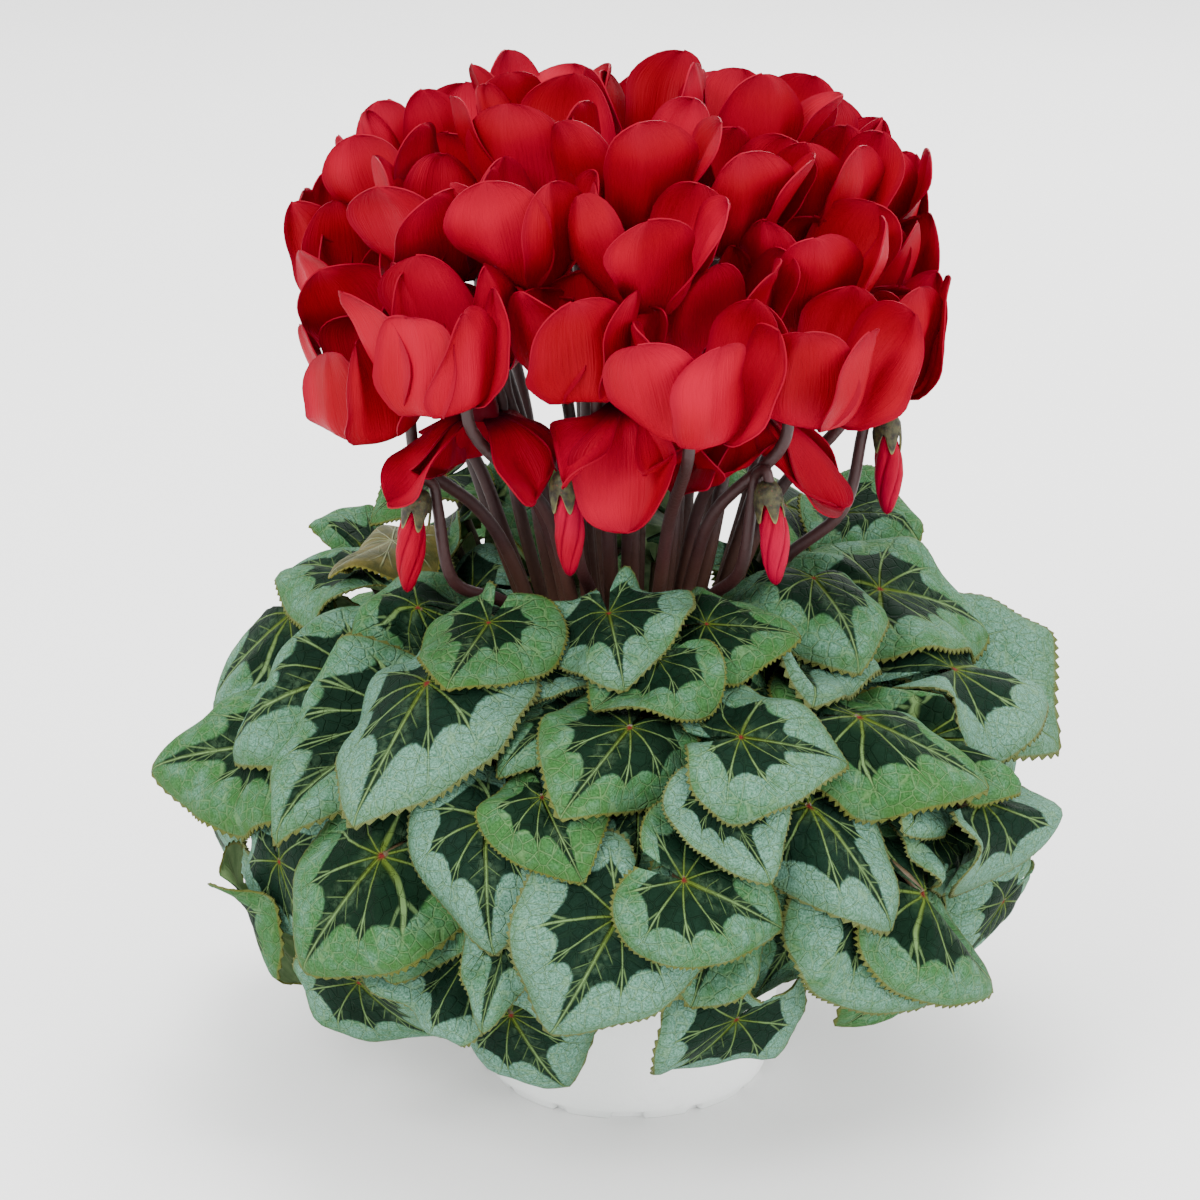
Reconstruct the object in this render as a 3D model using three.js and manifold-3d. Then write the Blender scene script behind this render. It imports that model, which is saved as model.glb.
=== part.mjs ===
// A florist's cyclamen in a white plastic nursery pot: a dome of crimson flowers on brown stalks, which rise
// through a mound of heart-shaped, silver-edged leaves. Millimetres, +Z up, the origin under the middle of the pot.
// The leaves grow in sprays of two or more, whose stalks meet in short trunks on the shoulder of the tuber.
// The flower stalks grow from the tuber's crown and hook over at the top, so that each flower nods and its
// petals turn up.
import * as THREE from "three";
import { mergeVertices } from "three/addons/utils/BufferGeometryUtils.js";
import Module from "manifold-3d";

const POT = { height: 93, baseRadius: 47, rimRadius: 60, wall: 1.6, sides: 32, floor: 2.4 };
const RIM = { band: 9, proud: 1.6 };
const FOOT = { height: 9, tuck: 2.2, bend: 4, notches: 12, deep: 2.8, shallow: 2, wide: 11, narrow: 4.5, reach: 7 };
const SOIL = { top: 84, gap: 0.3 };
const TUBER = { middle: 82, radius: 26, half: 15, sides: 21, rings: 6, widest: 3, shoulder: 4 };
const SEAT_GAP = 0.3;

// The leaf mound is an ellipsoid: the outermost leaves lie on it, and the others are tucked in under them.
const MOUND = { middle: 95, reach: 153, rise: 103 };
const LEAF = { thick: 0.8, clear: 1, follow: 0.6, shareOfTuck: 0.12, fold: 0.14, curl: 0.1, wave: 0.04 };
const LEAF_LENGTHS = [30, 54];
const PETIOLE = { radius: 1.5, sides: 4, reach: 25, steps: [0, 0.4, 0.75, 1] };
const PETIOLE_SWINGS = [0, -9, 9, -18, 18];
const PETIOLE_DIPS = [0, -14, 14];
const SPRAY = { most: TUBER.sides, trunkRadius: 2.1, trunkLength: 5 };

// Where the photograph was taken from, so that what it shows can be placed by the pixels of its 1200 pixel frame.
const VIEW = { elevation: 18, distance: 1400, target: [-9, 0, 167], pixelsPerMm: 3.03, middle: 600 };

// Leaves that the photograph shows, innermost first: where the stalk joins, where the tip is, and width over length.
const SEEN_LEAVES = [
  { joint: [640, 800], tip: [638, 905], width: 1.1 },
  { joint: [578, 715], tip: [602, 800], width: 1.1 },
  { joint: [765, 680], tip: [742, 785], width: 1.1 },
  { joint: [835, 765], tip: [850, 865], width: 1.1 },
  { joint: [452, 800], tip: [432, 900], width: 1.1 },
  { joint: [432, 984], tip: [333, 992], width: 1.0 },
  { joint: [405, 893], tip: [368, 1000], width: 1.0 },
  { joint: [370, 858], tip: [297, 976], width: 1.05 },
  { joint: [264, 733], tip: [147, 771], width: 0.95 },
  { joint: [308, 654], tip: [198, 745], width: 1.0 },
  { joint: [348, 532], tip: [281, 516], width: 1.0 },
  { joint: [446, 476], tip: [372, 500], width: 1.0 },
  { joint: [352, 560], tip: [274, 566], width: 1.0 },
  { joint: [392, 541], tip: [335, 584], width: 0.6 },
  { joint: [410, 600], tip: [307, 665], width: 0.95 },
  { joint: [336, 690], tip: [268, 847], width: 0.75 },
  { joint: [532, 980], tip: [566, 1057], width: 1.15 },
  { joint: [491, 942], tip: [481, 1036], width: 0.75 },
  { joint: [479, 820], tip: [481, 963], width: 1.0 },
  { joint: [742, 902], tip: [698, 1034], width: 0.95 },
  { joint: [618, 922], tip: [546, 1048], width: 1.05 },
  { joint: [540, 797], tip: [579, 878], width: 1.1 },
  { joint: [562, 694], tip: [485, 761], width: 0.9 },
  { joint: [630, 724], tip: [559, 829], width: 1.1 },
  { joint: [895, 918], tip: [955, 1009], width: 1.0 },
  { joint: [938, 898], tip: [998, 987], width: 0.9 },
  { joint: [985, 830], tip: [1010, 914], width: 1.1 },
  { joint: [820, 806], tip: [906, 935], width: 0.95 },
  { joint: [962, 768], tip: [934, 822], width: 1.0 },
  { joint: [1002, 800], tip: [1072, 778], width: 0.8 },
  { joint: [975, 728], tip: [1047, 762], width: 1.1 },
  { joint: [685, 882], tip: [798, 935], width: 1.05 },
  { joint: [732, 795], tip: [776, 883], width: 1.05 },
  { joint: [966, 664], tip: [1042, 655], width: 1.0 },
  { joint: [869, 713], tip: [994, 792], width: 1.0 },
  { joint: [846, 596], tip: [832, 690], width: 0.9 },
  { joint: [847, 508], tip: [939, 521], width: 1.0 },
  { joint: [893, 578], tip: [1012, 616], width: 0.95 },
  { joint: [522, 640], tip: [601, 640], width: 1.1 },
  { joint: [422, 680], tip: [358, 837], width: 0.95 },
  { joint: [743, 736], tip: [858, 756], width: 1.1 },
  { joint: [824, 565], tip: [883, 643], width: 1.0 },
  { joint: [709, 618], tip: [807, 632], width: 1.1 },
  { joint: [659, 650], tip: [589, 704], width: 1.2 },
  { joint: [608, 607], tip: [624, 677], width: 1.3 },
  { joint: [486, 619], tip: [448, 700], width: 1.05 },
];

// Rows of leaves round the far side, lowest first, by height on the mound and the share of the turn they cover.
const FAR_ROWS = [
  { height: -25, count: 3, from: -48, to: 50, length: 50 },
  { height: -3, count: 5, from: -74, to: 76, length: 52 },
  { height: 18, count: 4, from: -62, to: 66, length: 54 },
  { height: 38, count: 5, from: -84, to: 82, length: 52 },
  { height: 58, count: 3, from: -48, to: 44, length: 46 },
];
const FAR_SEED = 2027;

// Distance from the joint to the margin at every 20 degrees round from the tip, as a share of the leaf's length.
const HEART = [1, 0.8, 0.705, 0.665, 0.655, 0.65, 0.625, 0.58, 0.5, 0.32];
const MARGIN_ANGLES = [0, 27, 60, 96, 134, 172];
const MARGIN_DIPS = 0.95;
const MIDWAY_ANGLES = [0, 60, 134];
const MIDWAY = 0.55;

// Flowers by where their mouths are, in millimetres. A swing turns the middle of a stalk round the plant, clear of
// the others. Hanging flowers have petals that droop, at these turns from the side of the stalk, so that the
// stalks of the flowers in front of them pass between.
const FLOWERS = [
  { mouth: [-56, -72, 255], swing: 12 },
  { mouth: [-77, -42, 238] },
  { mouth: [-12, -66, 258] },
  { mouth: [21, -84, 249] },
  { mouth: [56, -62, 248], swing: -12 },
  { mouth: [81, -18, 246] },
  { mouth: [-46, -50, 244], hangs: true, turns: [75, 115, 160, 266, 330] },
  { mouth: [0, -54, 249], hangs: true, turns: [135, 180, 225, 290, 330] },
  { mouth: [39, -33, 240], hangs: true, turns: [75, 120, 170, 215, 262] },
  { mouth: [-79, -8, 259] },
  { mouth: [-54, -28, 283] },
  { mouth: [-29, -46, 285] },
  { mouth: [3, -54, 280] },
  { mouth: [27, -44, 263] },
  { mouth: [53, -26, 268] },
  { mouth: [75, 10, 259] },
  { mouth: [-87, 20, 266] },
  { mouth: [-68, 14, 286] },
  { mouth: [31, -14, 288] },
  { mouth: [57, 8, 283] },
  { mouth: [76, 40, 277] },
  { mouth: [-56, 46, 289] },
  { mouth: [-26, -2, 300] },
  { mouth: [2, -22, 297] },
  { mouth: [8, 26, 302] },
  { mouth: [38, 27, 299] },
  { mouth: [56, 62, 284] },
  { mouth: [-26, 40, 300] },
  { mouth: [-56, 76, 266] },
  { mouth: [8, 68, 290] },
  { mouth: [-22, 90, 266] },
  { mouth: [-46, -47, 261] },
  { mouth: [-11, -38, 266] },
];
const BUDS = [
  { mouth: [-67, -48, 212], lean: -0.15 },
  { mouth: [-20, -62, 222], lean: 0.05 },
  { mouth: [44, -56, 217], lean: 0.1 },
  { mouth: [84, -8, 226], lean: 0 },
];
const BUD = { length: 27, radius: 4.6, ribs: 5, furrow: 0.8, twist: 100, shape: [0.72, 0.92, 1, 0.74, 0.34] };
const PETAL = { length: 47, width: 29, thick: 0.9, rootRadius: 4.8, clear: 1.2, soft: 0.6, seed: 77 };
const PETAL_ROWS = [0, 0.44, 0.86];
const PETAL_FACES = [
  [0, 3, 2],
  [0, 1, 3],
  [1, 4, 3],
  [2, 3, 6],
  [2, 6, 5],
  [3, 4, 6],
  [4, 7, 6],
];
const PETAL_EDGE = [0, 2, 5, 6, 7, 4, 1];
const PETAL_TURNS = [60, 120, 180, 240, 300];
const SPREAD = { upright: 17, hanging: 140, vary: 9, start: -25, bend: 0.28 };
const NOSE = { topRadius: 3.3, height: 7 };
const STALK = { radius: 2, hookRadius: 1.6, sides: 4, crown: 11, sunk: 0.72, gather: 46, gatherHeight: 190 };
const BUD_STALK = { radius: 1.7, sides: 5, gather: 46, gatherHeight: 168, clearOfLeaves: 38 };
const CALYX = { top: 4.3, foot: 4.1 };
const HEAD_RADIUS = 105;
const HOOK = { out: 9, below: 14, over: 12.6, end: 7.7 };
const TILT = { most: 11, at: 90 };
const LOWEST_PETAL = 206;

const COLOURS = {
  pot: 0xe9ece9,
  soil: 0x3a2c22,
  stalk: 0x4a2323,
  leaf: 0x7da287,
  petal: 0xc01224,
  bud: 0xe0103a,
};

const wasm = await Module();
wasm.setup();

const V = (x, y, z) => new THREE.Vector3(x, y, z);
const radians = THREE.MathUtils.degToRad;
const mix = (a, b, t) => a + (b - a) * t;
const limit = (x, low, high) => Math.min(high, Math.max(low, x));
const MIDDLE = V(0, 0, MOUND.middle);
const UP = V(0, 0, 1);

function smooth(low, high, x) {
  const t = limit((x - low) / (high - low), 0, 1);
  return t * t * (3 - 2 * t);
}

// A repeatable draw of numbers from 0 to 1.
function dice(seed) {
  let state = seed;
  return () => {
    state = (state * 16807) % 2147483647;
    return state / 2147483647;
  };
}

function solidOf(geometry) {
  const bare = geometry.clone();
  bare.deleteAttribute("normal");
  bare.deleteAttribute("uv");
  const merged = mergeVertices(bare, 1e-4);
  return new wasm.Manifold(
    new wasm.Mesh({
      numProp: 3,
      vertProperties: new Float32Array(merged.attributes.position.array),
      triVerts: new Uint32Array(merged.index.array),
    }),
  );
}

function solidFromFaces(points, faces) {
  const geometry = new THREE.BufferGeometry();
  geometry.setAttribute("position", new THREE.Float32BufferAttribute(points.flatMap((p) => p.toArray()), 3));
  geometry.setIndex(faces.flat());
  return solidOf(geometry);
}

function geometryOf(solid) {
  const mesh = solid.getMesh();
  const geometry = new THREE.BufferGeometry();
  geometry.setAttribute("position", new THREE.BufferAttribute(mesh.vertProperties.slice(), 3));
  geometry.setIndex(new THREE.BufferAttribute(mesh.triVerts.slice(), 1));
  geometry.computeVertexNormals();
  return geometry;
}

function join(solids) {
  return solids.reduce((whole, next) => whole.add(next));
}

function meshOf(name, solid, colour, roughness) {
  const material = new THREE.MeshStandardMaterial({ color: colour, roughness, metalness: 0 });
  const mesh = new THREE.Mesh(geometryOf(solid), material);
  mesh.name = name;
  return mesh;
}

// A closed tube through the points, with one radius for each.
function tube(points, radii, sides) {
  const rings = [];
  let across = V(1, 0.2, 0.1);
  points.forEach((point, i) => {
    const before = points[Math.max(i - 1, 0)];
    const after = points[Math.min(i + 1, points.length - 1)];
    const along = after.clone().sub(before).normalize();
    across.addScaledVector(along, -across.dot(along)).normalize();
    const third = along.clone().cross(across);
    for (let k = 0; k < sides; k++) {
      const turn = (2 * Math.PI * k) / sides;
      rings.push(
        point
          .clone()
          .addScaledVector(across, radii[i] * Math.cos(turn))
          .addScaledVector(third, radii[i] * Math.sin(turn)),
      );
    }
  });
  const faces = [];
  for (let i = 0; i + 1 < points.length; i++)
    for (let k = 0; k < sides; k++) {
      const a = i * sides + k;
      const b = i * sides + ((k + 1) % sides);
      faces.push([a, b, b + sides], [a, b + sides, a + sides]);
    }
  const last = (points.length - 1) * sides;
  for (let k = 1; k + 1 < sides; k++) faces.push([0, k + 1, k], [last, last + k, last + k + 1]);
  return solidFromFaces(rings, faces);
}

function bezier(a, b, c, d, t) {
  const s = 1 - t;
  return a
    .clone()
    .multiplyScalar(s * s * s)
    .addScaledVector(b, 3 * s * s * t)
    .addScaledVector(c, 3 * s * t * t)
    .addScaledVector(d, t * t * t);
}

function turned(profile, sides) {
  return solidOf(new THREE.LatheGeometry(profile.map(([r, z]) => new THREE.Vector2(r, z)), sides).rotateX(Math.PI / 2));
}

// The pot: a tapered tub with a banded rim, standing on a tucked-in foot that is notched for drainage.
function pot() {
  const outer = (z) => mix(POT.baseRadius, POT.rimRadius, z / POT.height);
  const bandFoot = POT.height - RIM.band;
  const profile = [
    [0, 0],
    [POT.baseRadius - FOOT.tuck, 0],
    [outer(FOOT.bend) - 0.5, FOOT.bend],
    [outer(FOOT.height), FOOT.height],
    [outer(bandFoot), bandFoot],
    [outer(bandFoot) + RIM.proud, bandFoot + RIM.proud],
    [POT.rimRadius + RIM.proud, POT.height],
    [POT.rimRadius - POT.wall, POT.height],
    [outer(FOOT.height) - POT.wall, FOOT.height],
    [POT.baseRadius - FOOT.tuck - POT.wall - 3, POT.floor],
    [0, POT.floor],
  ];
  let tub = turned(profile, POT.sides);
  for (let i = 0; i < FOOT.notches; i++) {
    const wide = i % 3 === 0;
    const width = wide ? FOOT.wide : FOOT.narrow;
    const high = wide ? FOOT.deep : FOOT.shallow;
    const notch = new THREE.CylinderGeometry(width / 2 - 1.2, width / 2 + 1.2, 2 * high, 4, 1).rotateY(Math.PI / 4);
    notch.rotateX(Math.PI / 2).scale(FOOT.reach / width, 1, 1);
    notch.translate(POT.baseRadius - 1.5, 0, 0).rotateZ((2 * Math.PI * i) / FOOT.notches - Math.PI / 2);
    tub = tub.subtract(solidOf(notch));
  }
  return tub;
}

// The tuber's outline is a flattened half circle: its ring at a level is this radius and height.
function tuberRing(level) {
  const angle = -Math.PI / 2 + (Math.PI * level) / TUBER.rings;
  const radius = level === 0 || level === TUBER.rings ? 0 : TUBER.radius * Math.cos(angle);
  return [radius, TUBER.middle + TUBER.half * Math.sin(angle)];
}

function tuber() {
  const profile = [];
  for (let level = 0; level <= TUBER.rings; level++) profile.push(tuberRing(level));
  return turned(profile, TUBER.sides);
}

// The potting mix fills the pot, with a hollow that the tuber sits in.
function soil() {
  const inner = (z) => mix(POT.baseRadius, POT.rimRadius, z / POT.height) - POT.wall - SOIL.gap - 0.4;
  const widest = tuberRing(TUBER.widest);
  const hollow = [];
  for (let level = TUBER.widest - 1; level > 0; level--) {
    const [radius, high] = tuberRing(level);
    hollow.push([radius + SEAT_GAP * 0.7, high - SEAT_GAP * 0.7]);
  }
  return turned(
    [
      [0, POT.floor + SOIL.gap],
      [POT.baseRadius - FOOT.tuck - POT.wall - 4, POT.floor + SOIL.gap],
      [inner(FOOT.height), FOOT.height + 1],
      [inner(SOIL.top - 2), SOIL.top - 2],
      [widest[0] + SEAT_GAP + 1.5, SOIL.top],
      [widest[0] + SEAT_GAP, widest[1]],
      ...hollow,
      [0, tuberRing(0)[1] - SEAT_GAP],
    ],
    TUBER.sides,
  );
}

// The line of sight through a pixel.
function sightOf([px, py]) {
  const tilt = radians(VIEW.elevation);
  const ahead = V(0, Math.cos(tilt), -Math.sin(tilt));
  const above = V(0, Math.sin(tilt), Math.cos(tilt));
  const eye = V(...VIEW.target).addScaledVector(ahead, -VIEW.distance);
  const far = VIEW.distance * VIEW.pixelsPerMm;
  const ray = ahead.addScaledVector(V(1, 0, 0), (px - VIEW.middle) / far);
  ray.addScaledVector(above, (VIEW.middle - py) / far).normalize();
  return new THREE.Ray(eye, ray);
}

// The point of the mound's surface that shows at a pixel, or the nearest to it where the mound doesn't reach.
function onMound(pixel) {
  const sight = sightOf(pixel);
  const squash = V(1 / MOUND.reach, 1 / MOUND.reach, 1 / MOUND.rise);
  const from = sight.origin.clone().sub(MIDDLE).multiply(squash);
  const along = sight.direction.clone().multiply(squash);
  const a = along.dot(along);
  const b = from.dot(along);
  const under = b * b - a * (from.dot(from) - 1);
  return sight.at((-b - Math.sqrt(Math.max(under, 0))) / a, V(0, 0, 0));
}

// Where a seen leaf's joint and tip are: near the mound's edge the joint moves back so that the leaf isn't too long.
function seenPlace(leaf) {
  const tip = onMound(leaf.tip);
  const joint = onMound(leaf.joint);
  if (joint.distanceTo(tip) > LEAF_LENGTHS[1]) {
    const sight = sightOf(leaf.joint);
    const nearest = sight.closestPointToPoint(tip, V(0, 0, 0));
    const back = Math.sqrt(Math.max(0, LEAF_LENGTHS[1] ** 2 - nearest.distanceToSquared(tip)));
    const side = Math.sign(joint.clone().sub(nearest).dot(sight.direction));
    joint.copy(nearest).addScaledVector(sight.direction, side * back);
  }
  return { joint, tip, width: leaf.width };
}

// The mound's point at a turn, 0 away from the viewer, and a height, both in degrees.
function moundAt(turn, height) {
  const flat = MOUND.reach * Math.cos(radians(height));
  return V(
    flat * Math.sin(radians(turn)),
    flat * Math.cos(radians(turn)),
    MOUND.middle + MOUND.rise * Math.sin(radians(height)),
  );
}

// How far the mound's surface is from its middle along a direction.
function moundRadius(direction) {
  const flat = Math.hypot(direction.x, direction.y) / MOUND.reach;
  return 1 / Math.hypot(flat, direction.z / MOUND.rise);
}

function leafPlaces() {
  const draw = dice(FAR_SEED);
  const places = [];
  for (const row of FAR_ROWS)
    for (let i = 0; i < row.count; i++) {
      const step = (row.to - row.from) / (row.count - 1);
      const turn = row.from + step * i + 10 * (draw() - 0.5);
      const height = row.height + 8 * (draw() - 0.5);
      const joint = moundAt(turn, height);
      const down = row.length / MOUND.rise;
      const veer = radians(70 * (draw() - 0.5));
      const tip = moundAt(
        turn + THREE.MathUtils.radToDeg((Math.sin(veer) * row.length) / MOUND.reach) / Math.cos(radians(height - 20)),
        height - THREE.MathUtils.radToDeg(down * Math.cos(veer)),
      );
      places.push({ joint, tip, width: 1.1 + 0.15 * (draw() - 0.5) });
    }
  for (const leaf of SEEN_LEAVES) places.push(seenPlace(leaf));
  return places;
}

// The margin's distance from the joint at an angle from the tip, as a share of the length.
function heart(degrees) {
  const at = Math.abs(degrees) / 20;
  const i = Math.min(Math.floor(at), HEART.length - 2);
  const t = at - i;
  const p0 = HEART[i === 0 ? 1 : i - 1];
  const p1 = HEART[i];
  const p2 = HEART[i + 1];
  const p3 = i + 2 < HEART.length ? HEART[i + 2] : 0.1;
  return p1 + 0.5 * t * (p2 - p0 + t * (2 * p0 - 5 * p1 + 4 * p2 - p3 + t * (3 * (p1 - p2) + p3 - p0)));
}

// The blade's own axes, and how far its joint and tip stand off the bare mound.
function leafFrame(place, character) {
  const along = place.tip.clone().sub(place.joint);
  const length = limit(along.length(), ...LEAF_LENGTHS);
  along.normalize();
  const out = place.joint.clone().add(place.tip).multiplyScalar(0.5).sub(MIDDLE);
  out.z *= (MOUND.reach / MOUND.rise) ** 2;
  out.addScaledVector(along, -out.dot(along)).normalize();
  const side = along.clone().cross(out);
  const standing = [place.joint, place.tip].map((point) => {
    const arm = point.clone().sub(MIDDLE);
    return arm.length() / moundRadius(arm.clone().normalize());
  });
  return { joint: place.joint, length, along, out, side, standing, width: place.width, ...character };
}

// A point of the blade at an angle from the tip and a share of the way to the margin, before it is lifted.
function bladePoint(leaf, degrees, share) {
  const turn = radians(degrees);
  const reach = heart(degrees) * share * leaf.length;
  const x = reach * Math.sin(turn) * leaf.width;
  const y = reach * Math.cos(turn);
  const across = Math.abs(x) / leaf.length;
  const outer = share * share;
  const rise =
    leaf.fold * across - leaf.curl * outer * Math.sin(turn) ** 2 + leaf.wave * outer * Math.sin(3 * turn + leaf.phase);
  const flat = leaf.joint
    .clone()
    .addScaledVector(leaf.side, x)
    .addScaledVector(leaf.along, y)
    .addScaledVector(leaf.out, rise * leaf.length);
  const arm = flat.sub(MIDDLE);
  const far = arm.length();
  const direction = arm.normalize();
  const standing = mix(leaf.standing[0], leaf.standing[1], limit(y / leaf.length, 0, 1));
  const laid = moundRadius(direction) * standing + rise * leaf.length;
  return { direction, far: mix(far, laid, LEAF.follow) };
}

const bothWays = (angles) => [...angles.slice(1).reverse().map((a) => -a), ...angles];

// The blade's corner points: the joint, some midway to the margin and twice as many on it, of which every other
// one dips in. With them come the blade's upper faces and its edge.
function bladeGrid() {
  const mids = bothWays(MIDWAY_ANGLES);
  const rims = bothWays(MARGIN_ANGLES);
  const corners = [[0, 0], ...mids.map((a) => [a, MIDWAY]), ...rims.map((a, i) => [a, i % 2 ? 1 : MARGIN_DIPS])];
  const rim = (i) => 1 + mids.length + i;
  const faces = [];
  for (let k = 0; k + 1 < mids.length; k++) {
    const [m, next] = [1 + k, 2 + k];
    const o = 2 * k + 1;
    faces.push([0, next, m], [m, rim(o + 1), rim(o)], [m, next, rim(o + 1)], [next, rim(o + 2), rim(o + 1)]);
  }
  faces.push([1, rim(1), rim(0)], [mids.length, rim(rims.length - 1), rim(rims.length - 2)]);
  const edge = [0, 1, ...rims.map((_, i) => rim(i)), mids.length];
  return { corners, faces, edge };
}

// The underside of what has been laid, as its least distance from the middle in each small cell of direction.
function makeField() {
  const step = 1.5;
  const cells = new Map();
  const cellOf = (direction, du, dv) => {
    const turn = THREE.MathUtils.radToDeg(Math.atan2(direction.y, direction.x)) + 180;
    const height = THREE.MathUtils.radToDeg(Math.asin(limit(direction.z, -1, 1))) + 90;
    const row = Math.floor(height / step + dv);
    const wide = step / Math.max(0.2, Math.sin(radians(row * step)));
    return `${Math.floor(turn / wide + du)},${row}`;
  };
  return {
    cover(direction, far) {
      const key = cellOf(direction, 0, 0);
      cells.set(key, Math.min(cells.get(key) ?? Infinity, far));
    },
    over(direction) {
      const near = [-0.5, 0.5].flatMap((du) =>
        [-0.5, 0.5].map((dv) => cells.get(cellOf(direction, du, dv)) ?? Infinity),
      );
      return Math.min(...near);
    },
  };
}

// Leaves are tucked under a stalk where it passes over the mound.
function coverStalk(field, line) {
  for (let i = 0; i + 1 < line.length; i++)
    for (let t = 0; t <= 1; t += 0.05) {
      const middle = line[i].clone().lerp(line[i + 1], t);
      if (Math.hypot(middle.x, middle.y) < BUD_STALK.clearOfLeaves) continue;
      for (let k = 0; k < 8; k++) {
        const round = V(Math.cos((k * Math.PI) / 4), Math.sin((k * Math.PI) / 4), 0);
        const arm = middle.clone().addScaledVector(round, 5).sub(MIDDLE);
        const far = arm.length();
        field.cover(arm.normalize(), far - 4);
      }
    }
}

// The points spread over one face of the blade, as weights of its corners.
const OVER_FACE = [];
for (let i = 0; i <= 5; i++) for (let j = 0; j <= 5 - i; j++) OVER_FACE.push([i / 5, j / 5, (5 - i - j) / 5]);

// Calls back with each sampled spot of the blade, its face and its distance from the middle.
function eachSpot(arms, grid, visit) {
  for (const face of grid.faces)
    for (const weights of OVER_FACE) {
      const spot = V(0, 0, 0);
      face.forEach((corner, k) => spot.addScaledVector(arms[corner], weights[k]));
      const far = spot.length();
      visit(spot.normalize(), far, face);
    }
}

// Tucks one blade under what is there: it is lowered as a whole, and then bent where it would still touch.
function layBlade(leaf, grid, field) {
  const bare = grid.corners.map(([angle, share]) => bladePoint(leaf, angle, share));
  const armsAt = (tucks) => bare.map((p, i) => p.direction.clone().multiplyScalar(p.far - tucks[i]));
  let tucks = bare.map(() => 0);
  let most = 0;
  eachSpot(armsAt(tucks), grid, (direction, far) => {
    most = Math.max(most, far + LEAF.clear - field.over(direction));
  });
  tucks = tucks.map(() => most * LEAF.shareOfTuck);
  const extra = bare.map(() => 0);
  eachSpot(armsAt(tucks), grid, (direction, far, face) => {
    const need = far + LEAF.clear - field.over(direction);
    for (const corner of face) extra[corner] = Math.max(extra[corner], need);
  });
  tucks = tucks.map((tuck, i) => tuck + extra[i]);
  const arms = armsAt(tucks);
  eachSpot(arms, grid, (direction, far) => field.cover(direction, far - LEAF.thick * 1.4));
  return arms.map((arm) => arm.add(MIDDLE));
}

function bladeSolid(leaf, grid, upper) {
  const count = upper.length;
  const lower = upper.map((p) => p.clone().addScaledVector(leaf.out, -LEAF.thick));
  const faces = grid.faces.flatMap(([a, b, c]) => [
    [a, b, c],
    [a + count, c + count, b + count],
  ]);
  grid.edge.forEach((a, i) => {
    const b = grid.edge[(i + 1) % grid.edge.length];
    faces.push([a, b, b + count], [a, b + count, a + count]);
  });
  return solidFromFaces([...upper, ...lower], faces);
}

function crosses(a, b) {
  const [p, q] = [a.boundingBox(), b.boundingBox()];
  if ([0, 1, 2].some((i) => p.min[i] > q.max[i] || q.min[i] > p.max[i])) return false;
  return a.intersect(b).volume() > 0.001;
}

// The leaf's stalk arches from the trunk, over the pot's rim where the leaf hangs low, to the blade's joint.
// A swing turns its middle round the plant, and a dip moves it down.
function petioleLine(leaf, joint, trunk, swing, dip) {
  const low = limit((125 - joint.z) / 70, 0, 1);
  const start = trunk.foot.clone().addScaledVector(trunk.out, SPRAY.trunkLength * 0.6);
  const rise = start.clone().addScaledVector(trunk.out, PETIOLE.reach).addScaledVector(UP, 22 * low);
  const meet = joint.clone().addScaledVector(leaf.out, -LEAF.thick * 0.4);
  const near = meet
    .clone()
    .addScaledVector(leaf.out, -PETIOLE.reach * 0.8)
    .addScaledVector(leaf.along, -5)
    .addScaledVector(UP, 58 * low - dip);
  for (const control of [rise, near]) control.applyAxisAngle(UP, radians(swing));
  const points = [];
  for (const t of PETIOLE.steps) points.push(bezier(start, rise, near, meet, t));
  return points;
}

// Of the ways a leaf's stalk could run, the one that passes through the fewest of the solids in its way.
function petioleSolid(leaf, joint, trunk, obstacles) {
  let best = null;
  for (const dip of PETIOLE_DIPS)
    for (const swing of PETIOLE_SWINGS) {
      const points = petioleLine(leaf, joint, trunk, swing, dip);
      const solid = tube(points, points.map(() => PETIOLE.radius), PETIOLE.sides);
      const hits = obstacles.filter((other) => crosses(solid, other)).length;
      if (!best || hits < best.hits) best = { solid, hits };
      if (hits === 0) return solid;
    }
  return best.solid;
}

// Each trunk stands on one corner of the ring round the tuber's shoulder, numbered from the left round the front.
function trunkAt(i) {
  const turn = (2 * Math.PI * (i - Math.floor(TUBER.sides / 4))) / TUBER.sides - Math.PI / 2;
  const [radius, high] = tuberRing(TUBER.shoulder);
  const flat = V(Math.cos(turn), Math.sin(turn), 0);
  const out = flat
    .clone()
    .multiplyScalar(radius / TUBER.radius ** 2)
    .addScaledVector(UP, (high - TUBER.middle) / TUBER.half ** 2)
    .normalize();
  const foot = flat.multiplyScalar(radius).addScaledVector(UP, high).addScaledVector(out, SEAT_GAP);
  return { foot, out };
}

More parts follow.
